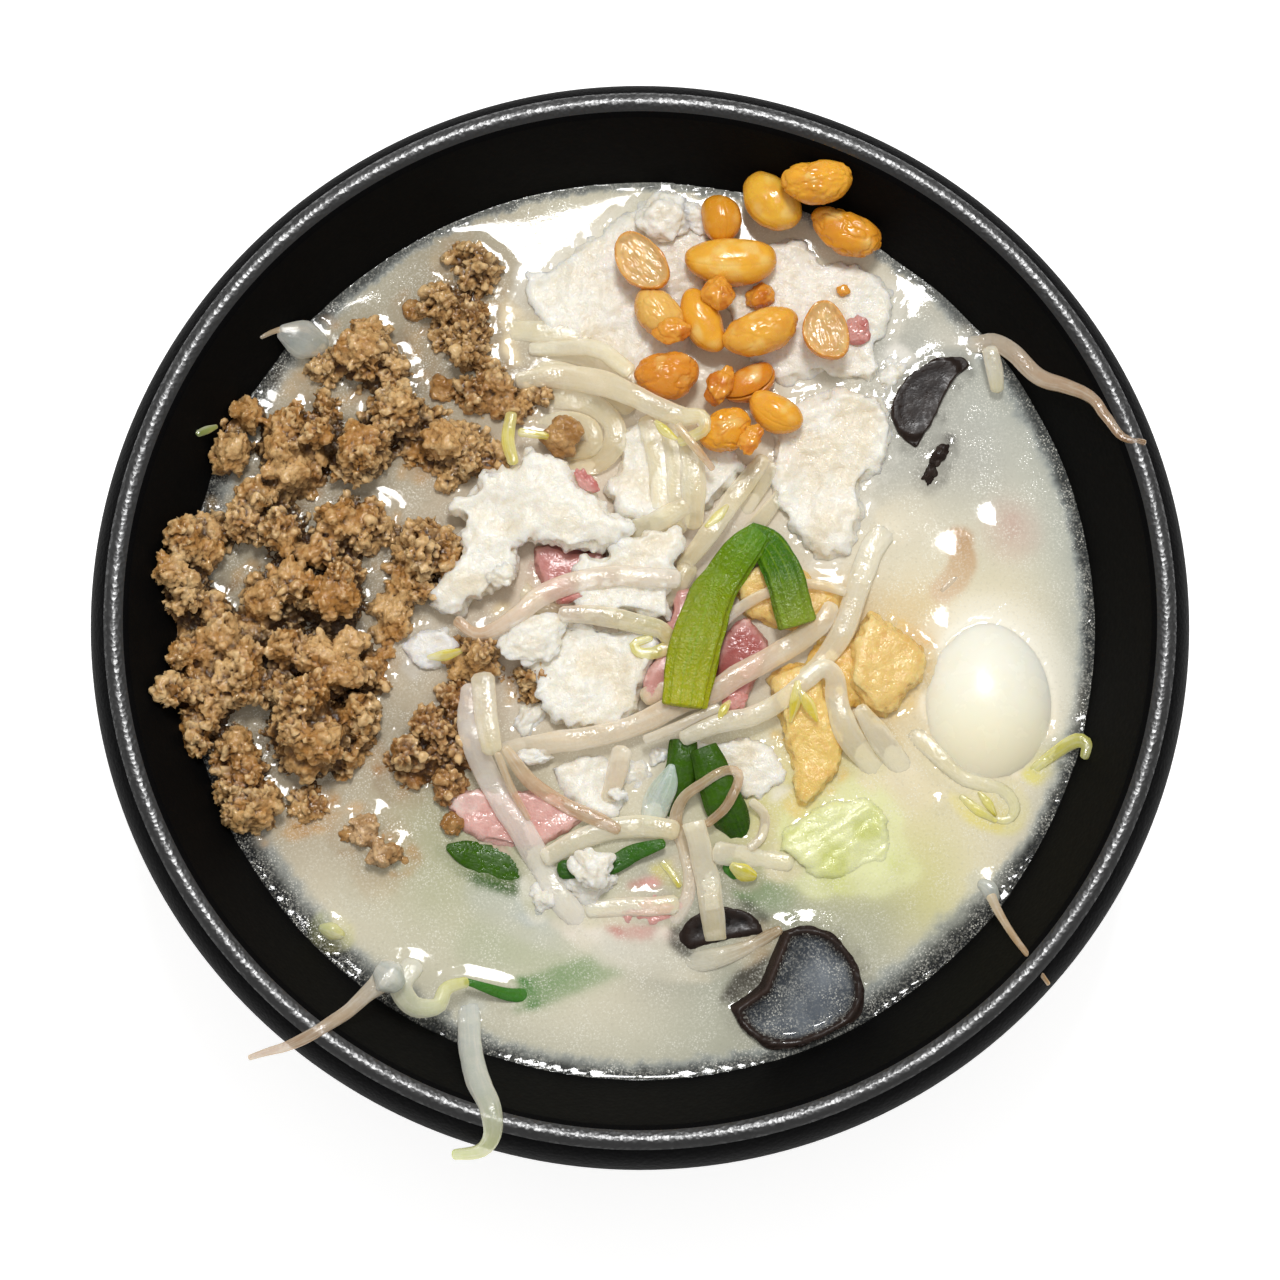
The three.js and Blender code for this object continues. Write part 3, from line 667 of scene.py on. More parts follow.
@dataclass(frozen=True)
class FoodFinish:
    """Finish of a moist food: its tint with stains, painted shading, soft relief and a wet gloss.

    Lengths are in millimetres. The tint comes from the piece's own colours. The deep colour is
    painted shade in hollows and the crest colour painted light on crests.
    """

    slot: str
    stain: str
    # colour of the painted shade in hollows, then of the painted light on crests
    deep: str
    crest_light: str
    spot: float = 2.5
    amount: float = 0.4
    grain: float = 0.2
    sharp: float = 2.0
    coarse: float = 1.2
    fine: float = 0.35
    share: float = 0.5
    grains: float = 0.0
    height: float = 0.2
    strength: float = 0.6
    gloss: tuple[float, float] = (0.25, 0.5)
    specular: float = 0.5
    through: float = 0.15
    radius: tuple[float, float, float] = (1.0, 0.6, 0.35)

    def material(self) -> bpy.types.Material:
        """Makes the material."""
        tree = Skin(self.slot)
        colour = tree.group(MOTTLE, {
            "Vector": tree.at, "Color": tree.stored("tint", "Color"), "Stain": rgba(self.stain),
            "Scale": 1000 / self.spot, "Amount": self.amount, "Grain": self.grain,
        })
        # painted shade in hollows and painted light on crests, from the stored cavity
        colour = tree.group(PAINTED_SHADING, {
            "Color": colour, "Hollow Shade": rgba(self.deep), "Crest Light": rgba(self.crest_light),
            "Cavity": tree.stored("cavity", "Fac"), "Sharp": self.sharp,
        })
        bumps = tree.group(RELIEF, {
            "Vector": tree.at, "Coarse": 1000 / self.coarse, "Fine": 1000 / self.fine,
            "Share": self.share, "Grains": self.grains,
        })
        wet = tree.step(tree.noise(tree.at, 1000 / self.coarse, 3), 0.3, 0.7)
        return tree.close(
            colour, tree.between(wet, *self.gloss), tree.bump(self.strength, self.height, bumps),
            specular_ior_level=self.specular, subsurface_weight=self.through,
            subsurface_radius=self.radius, subsurface_scale=MM,
        )


@dataclass(frozen=True)
class StrandFinish:
    """Finish of a stalk or noodle: its tint with streaks along it and a clear wet gloss.

    clear is the share of what lies under it that is seen through its middle.
    """

    slot: str
    streak: str
    amount: float = 0.5
    along: float = 9.0
    across: float = 0.7
    ribs: float = 0.12
    rough: float = 0.16
    specular: float = 0.7
    through: float = 0.35
    radius: tuple[float, float, float] = (1.6, 1.2, 0.8)
    clear: float = 0.0

    def material(self) -> bpy.types.Material:
        """Makes the material."""
        tree = Skin(self.slot)
        way = tree.add("ShaderNodeUVMap", uv_map="UVMap").outputs[0]
        drawn = {"Vector": way, "Scale": (1 / self.along, 1 / self.across, 1.0)}
        lines = tree.noise(tree.add("ShaderNodeMapping", drawn).outputs[0], 1.0, 3, 0.6)
        streaks = tree.times(tree.step(lines, 0.45, 0.7), self.amount)
        colour = tree.mix(streaks, tree.stored("tint", "Color"), rgba(self.streak))
        colour = tree.group(MOTTLE, {
            "Vector": tree.at, "Color": colour, "Stain": rgba(self.streak), "Scale": 400.0,
            "Amount": 0.15, "Grain": 0.1,
        })
        grain = tree.times(tree.noise(tree.at, 1800.0, 2, 0.6), 0.9)
        lumps = tree.times(tree.noise(tree.at, 450.0, 2), 1.2)
        height = tree.plus(tree.times(lines, 0.5), grain, lumps)
        wet = tree.step(tree.noise(tree.at, 900.0, 2), 0.35, 0.65)
        more = {}
        if self.clear:
            slant = tree.add("ShaderNodeLayerWeight", {"Blend": 0.5}).outputs["Facing"]
            back = tree.add("ShaderNodeNewGeometry").outputs["Backfacing"]
            solid = tree.between(slant, 1 - self.clear, 1.0, 0.6)
            more["alpha"] = tree.times(solid, tree.minus(1.0, back))
        return tree.close(
            colour, tree.between(wet, self.rough * 0.4, self.rough * 2.2),
            tree.bump(0.8, self.ribs, height), specular_ior_level=self.specular,
            subsurface_weight=self.through, subsurface_radius=self.radius, subsurface_scale=MM,
            **more,
        )


@dataclass(frozen=True)
class BrothFinish:
    """Finish of the broth: stained tint with pale flecks under a smooth wet surface."""

    fleck: str = "#F4F2E6"
    dusk: str = "#7E7A66"
    size: float = 0.42

    def material(self) -> bpy.types.Material:
        """Makes the material."""
        tree = Skin("broth")
        fine = tree.noise(tree.at, 2200.0, 2, 0.7)
        wide = tree.noise(tree.at, 160.0, 3)
        away = tree.seeds(tree.at, 1000 / self.size)
        dots = tree.minus(1.0, tree.step(away, 0.1, 0.45))
        flecks = tree.times(dots, tree.step(tree.noise(tree.at, 260.0, 3), 0.4, 0.65))
        haze = tree.times(tree.step(fine, 0.45, 0.75), tree.step(wide, 0.2, 0.6), 0.35)
        shadow = tree.times(tree.step(tree.noise(tree.at, 1700.0, 2), 0.52, 0.75), 0.12)
        colour = tree.mix(haze, tree.stored("tint", "Color"), rgba(self.fleck))
        colour = tree.mix(tree.times(flecks, 0.65), colour, rgba(self.fleck))
        colour = tree.mix(shadow, colour, rgba(self.dusk))
        swell = tree.times(tree.noise(tree.at, 120.0, 2), 2.0)
        height = tree.plus(tree.noise(tree.at, 1300.0, 2), swell, flecks)
        return tree.close(
            colour, tree.between(fine, 0.03, 0.09), tree.bump(0.3, 0.025, height),
            ior=1.4, specular_ior_level=0.6,
        )


@dataclass(frozen=True)
class BowlFinish:
    """Finish of the bowl's dark ware: fine leathery grain, satin on the outside and lip."""

    name: str
    colour: str
    rough: tuple[float, float]
    specular: float
    grain: float
    ior: float = 1.5

    def material(self) -> bpy.types.Material:
        """Makes the material."""
        tree = Skin(self.name)
        soft = tree.noise(tree.at, 900.0, 3)
        height = tree.plus(tree.seeds(tree.at, 1300.0), soft)
        colour = tree.group(MOTTLE, {
            "Vector": tree.at, "Color": rgba(self.colour), "Stain": rgba("#050506"), "Scale": 260.0,
            "Amount": 0.25, "Grain": 0.4,
        })
        return tree.close(
            colour, tree.between(soft, *self.rough), tree.bump(self.grain, 0.25, height),
            ior=self.ior, specular_ior_level=self.specular,
        )


MATERIALS: dict[str, bpy.types.Material] = {}

# In the food finishes, deep is the colour of painted shade in hollows and crest that of painted
# light on crests.
FINISHES = {
    "meat": FoodFinish(
        "meat", stain="#7A4E26", deep="#4A2C14", crest_light="#EAC48C", spot=1.4, amount=0.3, grain=0.4,
        sharp=1.6, coarse=0.7, fine=0.3, share=0.8, grains=0.8, height=0.16, strength=1.0,
        gloss=(0.04, 0.24), specular=1.0, through=0.08,
    ),
    "slice": FoodFinish(
        "slice", stain="#EDE2C8", deep="#D9C7A0", crest_light="#FAF7EE", spot=2.2, amount=0.4, grain=0.06,
        sharp=1.6, coarse=0.8, fine=0.3, share=0.9, grains=0.4, height=0.12, strength=0.9,
        gloss=(0.1, 0.5), specular=0.6, through=0.55, radius=(2.0, 1.7, 1.2),
    ),
    "ham": FoodFinish(
        "ham", stain="#C9847C", deep="#9A4B46", crest_light="#F2CFC5", spot=2.0, amount=0.4, grain=0.1,
        sharp=1.6, coarse=0.7, fine=0.3, grains=0.5, height=0.09, strength=1.0, gloss=(0.08, 0.25),
        specular=0.8, through=0.35, radius=(2.0, 0.9, 0.7),
    ),
    "tofu": FoodFinish(
        "tofu", stain="#DFA548", deep="#C98930", crest_light="#FCE8AC", spot=1.6, amount=0.35, grain=0.12,
        sharp=1.8, coarse=0.8, fine=0.3, share=0.9, grains=0.4, height=0.13, strength=1.0,
        gloss=(0.08, 0.32), specular=0.9, through=0.3, radius=(1.8, 1.1, 0.4),
    ),
    "cabbage": FoodFinish(
        "cabbage", stain="#E6E8AE", deep="#B9C058", crest_light="#EFF2C4", spot=3.0, amount=0.35,
        grain=0.06, sharp=1.4, coarse=0.9, fine=0.3, share=0.8, height=0.12, strength=0.8,
        gloss=(0.06, 0.4), specular=0.8, through=0.5, radius=(1.8, 1.9, 0.8),
    ),
    "ear": FoodFinish(
        "ear", stain="#33261F", deep="#0E0A09", crest_light="#43352F", spot=2.5, amount=0.4, grain=0.2,
        sharp=1.2, coarse=1.2, fine=0.35, height=0.1, strength=0.5, gloss=(0.2, 0.45),
        specular=0.22, through=0.03,
    ),
    "bean": FoodFinish(
        "bean", stain="#D98A2A", deep="#B8691A", crest_light="#FBDD96", spot=2.4, amount=0.25, grain=0.08,
        sharp=1.0, coarse=1.2, fine=0.3, share=0.4, height=0.08, strength=0.4, gloss=(0.12, 0.32),
        specular=0.7, through=0.3, radius=(2.0, 1.1, 0.35),
    ),
    "egg": FoodFinish(
        "egg", stain="#FBF2D6", deep="#F3E9CC", crest_light="#FFFBEF", spot=6.0, amount=0.3, grain=0.02,
        sharp=0.5, coarse=4.0, fine=0.6, share=0.15, height=0.03, strength=0.3, gloss=(0.2, 0.3),
        specular=0.45, through=0.5, radius=(3.6, 3.0, 2.2),
    ),
    "noodle": StrandFinish(
        "noodle", streak="#F8F0DA", amount=0.3, rough=0.12, specular=1.0, through=0.6,
        radius=(2.0, 1.8, 1.4), clear=0.45,
    ),
    "sprout": StrandFinish(
        "sprout", streak="#FAF2E4", amount=0.35, rough=0.12, specular=1.0, through=0.6,
        radius=(2.1, 1.9, 1.5), clear=0.36,
    ),
    "leek": StrandFinish("leek", streak="#F4FAF6", amount=0.5, across=0.5, ribs=0.15, clear=0.25),
    "chive": StrandFinish(
        "chive", streak="#7E9C18", amount=0.6, along=24, across=0.55, ribs=0.45, rough=0.14,
        specular=0.55, through=0.05, radius=(0.4, 0.7, 0.1),
    ),
    "leaf": StrandFinish(
        "leaf", streak="#4F7A14", amount=0.3, along=12, across=0.5, ribs=0.2, rough=0.25,
        specular=0.4, through=0.04, radius=(0.4, 0.8, 0.2),
    ),
    "broth": BrothFinish(),
}


def material(slot: str) -> bpy.types.Material:
    """The one material of a finish, made when it is first asked for."""
    if slot not in MATERIALS:
        MATERIALS[slot] = FINISHES[slot].material()
    return MATERIALS[slot]


def publish(
    mesh: Mesh, name: str, slot: str, nodes: tuple[str, ...] = (), *mats: bpy.types.Material
) -> None:
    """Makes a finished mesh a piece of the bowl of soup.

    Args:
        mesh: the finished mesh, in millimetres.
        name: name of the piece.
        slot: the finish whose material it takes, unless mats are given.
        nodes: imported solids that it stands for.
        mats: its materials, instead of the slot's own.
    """
    mesh.transform(Matrix.Scale(MM, 4))
    mesh.name = name
    for made in mats or (material(slot),):
        mesh.materials.append(made)
    mesh.shade_smooth()
    piece = bpy.data.objects.new(name, mesh)
    bpy.context.scene.collection.objects.link(piece)
    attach(piece, BODY)
    if nodes:
        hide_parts(*nodes)
    log.info("%s: %d faces", name, len(mesh.polygons))


# ---- the bowl --------------------------------------------------------------------------------


@dataclass
class Bowl:
    """The dark bowl, turned from its section: matte inside, satin lip, dull outside.

    cuts is how often the section's corners are cut to round them. The inside ends at the mouth's
    radius, and the satin crown of the lip lies between two radii above the brow's height.
    """

    steps: int = 240
    cuts: int = 3
    floor: float = 8.0
    mouth: float = 91.2
    brow: float = 72.0
    crown: tuple[float, float] = (92.2, 95.4)

    def section(self) -> list[tuple[float, float]]:
        """The section with its corners rounded, from the middle of the floor to under the foot."""
        line = [np.array(p, float) for p in WALL + LIP + SHELL + FOOT]
        for _ in range(self.cuts):
            soft = [line[0]]
            for a, b in itertools.pairwise(line):
                soft += [0.75 * a + 0.25 * b, 0.25 * a + 0.75 * b]
            line = [*soft, line[-1]]
        return [(float(r), float(z)) for r, z in line]

    def build(self) -> None:
        """Turns the section and dresses the bowl."""
        bm = bmesh.new()
        verts = [bm.verts.new((r, 0, z)) for r, z in self.section()]
        edges = [bm.edges.new(pair) for pair in itertools.pairwise(verts)]
        bmesh.ops.spin(
            bm, geom=[*verts, *edges], cent=(0, 0, 0), axis=(0, 0, 1), angle=2 * math.pi,
            steps=self.steps, use_merge=True, use_duplicate=False,
        )
        bmesh.ops.remove_doubles(bm, verts=bm.verts, dist=1e-3)
        bmesh.ops.recalc_face_normals(bm, faces=bm.faces)
        for face in bm.faces:
            mid = face.calc_center_median()
            reach = math.hypot(mid.x, mid.y)
            inward_facing = face.normal.dot(Vector((mid.x, mid.y, 0))) <= 0
            inside = mid.z > self.floor and reach < self.mouth and inward_facing
            crown = mid.z > self.brow and self.crown[0] <= reach < self.crown[1]
            face.material_index = 1 if crown else 0 if inside else 2
        wall = BowlFinish("bowl_wall", "#090909", (0.5, 0.65), 0.1, 0.15).material()
        lip = BowlFinish("bowl_lip", "#0A0A0B", (0.32, 0.44), 1.0, 0.34, ior=2.0).material()
        side = BowlFinish("bowl_side", "#0A0A0B", (0.6, 0.7), 0.05, 0.3).material()
        publish(to_mesh(bm, "bowl"), "bowl_shell", "bowl", ("bowl",), wall, lip, side)


# ---- pieces cut or torn from a sheet or block ------------------------------------------------


@dataclass
class Slab:
    """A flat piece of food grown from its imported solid: even skin, torn edges, relief and tint.

    Lengths are in millimetres. soft is how often the skin is smoothed. Its edges are torn by ragged
    over the length torn, and its upper face sinks by thin over the width edge beside them. The
    relief is a swell over the length wave, threads of the height fibre at the angle turn, pits of
    the width pit, and flakes. cavity is how far round a vertex its hollow is judged, clear the
    depth of broth that veils the piece to a third, and patch the size of its stains. dip is a
    bearing in degrees, the distance from which the piece sinks towards it, and its slope there.
    """

    node: str
    slot: str
    base: str
    second: str
    seed: int = 1
    voxel: float = 0.45
    soft: int = 4
    ragged: float = 1.5
    torn: float = 3.0
    thin: float = 0.5
    edge: float = 0.9
    swell: float = 0.8
    wave: float = 8.0
    fibre: float = 0.45
    thread: tuple[float, float, float] = (5.0, 2.0, 1.8)
    turn: float = 0.0
    pits: float = 0.26
    pit: float = 1.1
    flake: float = 0.24
    cavity: int = 12
    clear: float = 1.3
    patch: float = 6.0
    dip: tuple[float, float, float] = (0.0, 0.0, 0.0)

    def shape(self) -> Mesh:
        """Makes the mesh."""
        mesh = remeshed(packed(self.node), self.voxel)
        co = relaxed(places(mesh), mesh, self.soft)
        move(mesh, co)
        way = facing(mesh)
        side = 1 - rising(np.abs(way[:, 2]), 0.45, 0.9)
        flat = way * [1, 1, 0]
        flat /= np.maximum(np.linalg.norm(flat, axis=1), 1e-6)[:, None]
        tear = fractal(co * [1, 1, 0.4], self.torn, 3, self.seed)
        tear += 0.45 * noise(co, 1.3, self.seed + 5)
        co = co + flat * (self.ragged * tear * side)[:, None]
        top = co[:, 2].max()
        upper = rising(co[:, 2], top - 3, top - 1)
        co[:, 2] -= self.thin * (1 - inward(co, self.edge)) * upper
        bearing, start, slope = self.dip
        bearing = math.radians(bearing)
        out = (co - co.mean(axis=0)) @ [math.cos(bearing), math.sin(bearing), 0]
        co[:, 2] -= slope * np.maximum(out - start, 0) * upper
        cos, sin = math.cos(math.radians(self.turn)), math.sin(math.radians(self.turn))
        run = co @ [[cos, -sin, 0], [sin, cos, 0], [0, 0, 1]]
        rise = self.swell * fractal(co * [1, 1, 0.3], self.wave, 2, self.seed + 9)
        ridge = 0.55 - np.abs(fractal(run, np.array(self.thread), 3, self.seed))
        first = cells(co, self.pit, self.seed + 3)[0]
        layer = 2.4 * fractal(co * [1, 1, 0.5], 5.5, 3, self.seed + 31)
        layer = np.floor(layer) + rising(layer - np.floor(layer), 0.7, 1.0)
        relief = self.fibre * (ridge - 0.3) + self.pits * (0.5 - first) + self.flake * layer
        move(mesh, co + way * (rise * upper + relief)[:, None])
        return mesh

    def tint(self, mesh: Mesh) -> Array:
        """Colour of each vertex: patches of the second colour on the base."""
        share = rising(fractal(places(mesh), self.patch, 3, self.seed + 20), -0.1, 0.5)
        return tinted(shade(self.base), self.second, share)

    def build(self, bed: Bed) -> None:
        """Makes, tints and publishes the piece, and lays it on the bed."""
        mesh = self.shape()
        mark_cavity(mesh, self.cavity)
        paint(mesh, self.tint(mesh))
        bed.add(mesh, self.clear)
        publish(mesh, self.node + "_dressed", self.slot, (self.node,))


@dataclass
class Ham(Slab):
    """A ham slice: smooth pink face with paler bands and a darker cut edge."""

    rim: str = "#A85F58"

    def tint(self, mesh: Mesh) -> Array:
        """Colour of each vertex."""
        side = 1 - rising(np.abs(facing(mesh)[:, 2]), 0.2, 0.7)
        return tinted(super().tint(mesh), self.rim, 0.7 * side)


@dataclass
class WoodEar(Slab):
    """A wood ear: thick dark curled rim standing out of the broth round a hollow middle.

    band is the rim's width, crown its height and hollow the middle's. Beyond the fold, a line in
    plan, the piece dives under. A filmed ear holds broth in its hollow, which stands highest in the
    middle, over the length spread_over.
    """

    soft: int = 14
    ragged: float = 0.3
    thin: float = 0.0
    fibre: float = 0.05
    pits: float = 0.03
    flake: float = 0.0
    swell: float = 0.25
    clear: float = 2.4
    band: float = 3.0
    crown: float = 61.5
    hollow: float = 59.4
    filmed: bool = False
    fold: tuple[tuple[float, float], ...] = ()
    rim: str = "#2A211D"
    film: float = 1.1
    spread_over: float = 9.0

    def outside(self, co: Array) -> Array:
        """How far points lie beyond the fold, below 0 within it."""
        ways = [
            ((co[:, 0] - x) * (b - y) - (co[:, 1] - y) * (a - x)) / math.hypot(a - x, b - y)
            for (x, y), (a, b) in itertools.pairwise(self.fold)
        ]
        return np.min(ways, axis=0) if ways else np.full(len(co), -99.0)

    def within(self, co: Array, reach: float) -> Array:
        """How far points lie within the outline and the fold, from 0 to 1 over the reach."""
        return np.minimum(inward(co, reach), np.clip(-self.outside(co) / reach, 0, 1))

    def rise(self, co: Array) -> Array:
        """Height of the upper face: a rounded rim round the hollow, sunk beyond the fold."""
        inner = self.within(co, self.band)
        outer = 0.7 * (1 - rising(inner, 0.0, 0.22)) ** 2
        middle = self.within(co, self.spread_over) * self.spread_over
        film = self.film * np.exp(-middle / 2.4) if self.filmed else 0.0
        dish = (self.crown - self.hollow - film) * rising(inner, 0.35, 0.85)
        return self.crown - outer - dish - 1.6 * rising(self.outside(co), 0.0, 1.2)

    def shape(self) -> Mesh:
        """Makes the mesh, with its middle hollowed."""
        mesh = super().shape()
        co = places(mesh)
        top = co[:, 2].max()
        upper = rising(co[:, 2], top - 2.2, top - 1.2)
        flat = columns(co[:, 0], co[:, 1], LEVEL)
        target = self.rise(co) + self.swell * noise(flat, 6, self.seed)
        co[:, 2] += upper * (target - co[:, 2])
        move(mesh, co)
        return mesh

    def tint(self, mesh: Mesh) -> Array:
        """Colour of each vertex: a brown rim round the middle's colour."""
        co = places(mesh)
        inner = rising(self.within(co, self.band), 0.35, 0.8)
        light = 0.35 + 0.65 * rising(self.within(co, self.spread_over), 0.3, 1.0)
        return blend(shade(self.rim), super().tint(mesh) * light[:, None], inner**2)

    def build(self, bed: Bed) -> None:
        """Makes and publishes the piece, with a film of broth in its hollow if it is filmed."""
        super().build(bed)
        if not self.filmed:
            return
        mesh = bpy.data.objects[self.node + "_dressed"].data
        mesh.materials.append(material("broth"))
        wet = (self.within(places(mesh) / MM, self.band) > 0.4) & (facing(mesh)[:, 2] > 0.5)
        for face in mesh.polygons:
            if wet[list(face.vertices)].all():
                face.material_index = len(mesh.materials) - 1


class Lumps(NamedTuple):
    """Lumps of one size on a heap, in millimetres.

    gap is the least distance between two, low and high are their sizes, and sunk is the share of
    its size by which each lies in the heap.
    """

    gap: float
    low: float
    high: float
    sunk: float
    voxel: float


@dataclass
class Mince:
    """Browned minced meat: clumps of uneven grains in one skin over a packed heap.

    The heap is lowered between its clumps, and its creases and hollows are darkened with painted
    shade.
    """

    node: str
    seed: int = 1
    base: str = "#BA8341"
    second: str = "#E4BA7E"
    voxel: float = 0.4
    lowered: float = 4.2

    def spots(self, mesh: Mesh, gap: float, rng: np.random.Generator) -> tuple[Array, Array]:
        """Points spread over the heap's skin above the broth.

        Args:
            mesh: the heap.
            gap: least distance between two points.
            rng: source of chance.

        Returns:
            The points and the outward directions there.
        """
        corners = places(mesh)[triangles(mesh)]
        edge_a = corners[:, 1] - corners[:, 0]
        edge_b = corners[:, 2] - corners[:, 0]
        cross = np.cross(edge_a, edge_b)
        area = np.linalg.norm(cross, axis=1) / 2
        area[corners[:, :, 2].max(1) < LEVEL] = 0
        count = int(3.5 * area.sum() / gap**2)
        pick = rng.choice(len(area), count, p=area / area.sum())
        u, v = rng.random((2, count))
        over = u + v > 1
        u[over], v[over] = 1 - u[over], 1 - v[over]
        at = corners[pick, 0] + u[:, None] * edge_a[pick] + v[:, None] * edge_b[pick]
        way = cross[pick] / np.linalg.norm(cross[pick], axis=1)[:, None]
        kept: dict[tuple[int, int, int], list[int]] = {}
        chosen = []
        for i, p in enumerate(at):
            key = tuple(int(c) for c in np.floor(p / gap))
            near = (
                j
                for step in itertools.product((-1, 0, 1), repeat=3)
                for j in kept.get(tuple(a + b for a, b in zip(key, step)), ())
            )
            if all(np.sum((at[j] - p) ** 2) > gap * gap for j in near):
                kept.setdefault(key, []).append(i)
                chosen.append(i)
        return at[chosen], way[chosen]

    def shape(self) -> Mesh:
        """Makes the mesh: clumps on the lowered heap and lumps on the clumps."""
        rng = np.random.default_rng(self.seed)
        mesh = packed(self.node)
        sizes = Lumps(6.5, 2.6, 4.8, 0.7, 0.8), Lumps(2.5, 0.9, 1.9, 0.25, self.voxel)
        for i, kind in enumerate(sizes):
            at, way = self.spots(mesh, kind.gap, rng)
            size = kind.low + (kind.high - kind.low) * rng.random(len(at)) ** 1.5
            stretch = rng.uniform(0.75, 1.3, (len(at), 3))
            at = at - way * (kind.sunk * size)[:, None]
            grown = repeated(lump(3, 0.6, self.seed + i), at, stretch * size[:, None], rng)
            if i == 0:
                co = places(mesh)
                co[:, 2] -= self.lowered * rising(co[:, 2], LEVEL - 1, LEVEL + 2)
                move(mesh, co)
            mesh = remeshed(joined([mesh, grown], self.node), kind.voxel)
        return mesh

    def crumbled(self, mesh: Mesh) -> tuple[Array, Array]:
        """Breaks the skin into crumbs of two sizes with creases between them.

        Args:
            mesh: the smooth heap.

        Returns:
            For each vertex, how deep it lies in a crease and how pale its crumb is, from 0 to 1.
        """
        co, way = places(mesh), facing(mesh)
        first, second, wide = cells(shaken(co, 1.0, 2.4, self.seed + 60), 2.6, self.seed)
        split = rising(second - first, 0.0, 0.3)
        first, second, fine = cells(shaken(co, 0.45, 0.9, self.seed + 70), 1.15, self.seed + 4)
        cut = rising(second - first, 0.0, 0.35)
        loose = 0.5 + 0.5 * rising(fractal(co, 8, 2, self.seed + 90), -0.35, 0.3)
        lift = 0.7 * (split - 0.6) + 0.85 * (wide - 0.5) + 0.6 * (cut - 0.5) + 0.85 * (fine - 0.5)
        lift = lift * loose + 0.25 * fractal(co, 0.9, 3, self.seed)
        move(mesh, co + way * lift[:, None])
        crease = loose * (1 - split * (0.3 + 0.7 * cut))
        return crease, 0.5 + loose * (0.5 * wide + 0.5 * fine - 0.5)

    def build(self, bed: Bed) -> None:
        """Makes and tints the meat, with painted shade in its creases and hollows, publishes it and
        lays it on the bed.
        """
        mesh = self.shape()
        crease, pale = self.crumbled(mesh)
        mark_cavity(mesh, 6)
        co = places(mesh)
        warm = rising(fractal(co, 6, 3, self.seed + 7) + 1.4 * (pale - 0.5), -0.6, 0.6)
        colour = tinted(shade(self.base), self.second, warm)
        colour = blend(colour, 0.6 * shade(self.base), 0.5 * rising(-pale, -0.38, -0.1))
        # a paler tone on some crumbs, then painted shade: darker in the creases between crumbs and
        # where the skin lies below the heap round it
        for code, share in (
            ("#F8DCA8", 0.55 * rising(pale, 0.64, 0.85)),
            ("#5E3C1A", 0.55 * rising(crease, 0.5, 1.0)),
            ("#4A2C14", 0.6 * rising(sunkenness(co, 0.9), 0.3, 1.3)),
            ("#2C190A", 0.9 * rising(sunkenness(co, 2.6), 0.8, 3.2)),
        ):
            colour = tinted(colour, code, share)
        paint(mesh, colour)
        bed.add(mesh, 1.0)
        publish(mesh, self.node + "_dressed", "meat", (self.node,))


# ---- egg and beans ---------------------------------------------------------------------------


@dataclass
class QuailEgg:
    """The peeled quail egg, half sunk in the broth.

    taper makes its far end narrower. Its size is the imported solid's times grow, and it lies lower
    by sunk. clear is the depth of broth that veils it to a third. Lengths are in millimetres.
    """

    node: str = "quail_egg"
    taper: float = 0.06
    grow: tuple[float, float, float] = (0.57, 0.57, 0.5)
    sunk: float = 0.9
    clear: float = 9.0

    def build(self, bed: Bed) -> None:
        """Makes, tints and publishes the egg, and lays it on the bed."""
        low, high = extent(self.node)
        middle = (low + high) / 2
        mesh = ball(7)
        co = places(mesh)
        wide = 1 - self.taper * co[:, 1]
        co = middle + co * columns(wide, 1, wide) * (high - low) * self.grow
        co[:, 2] += 0.12 * fractal(co, 9, 2, 3) - self.sunk
        move(mesh, co)
        mark_cavity(mesh, 4)
        paint(mesh, tinted(shade("#FFFAE8"), "#FFF1D2", rising(middle[1] - co[:, 1], -6, 12)))
        bed.add(mesh, self.clear)
        publish(mesh, "quail_egg_dressed", "egg", (self.node,))


class BeanKind(Enum):
    """How a roasted soybean looks."""

    WHOLE = "whole"
    HALF = "half"
    SPLIT = "split"
    GLAZED = "glazed"
    WRINKLED = "wrinkled"


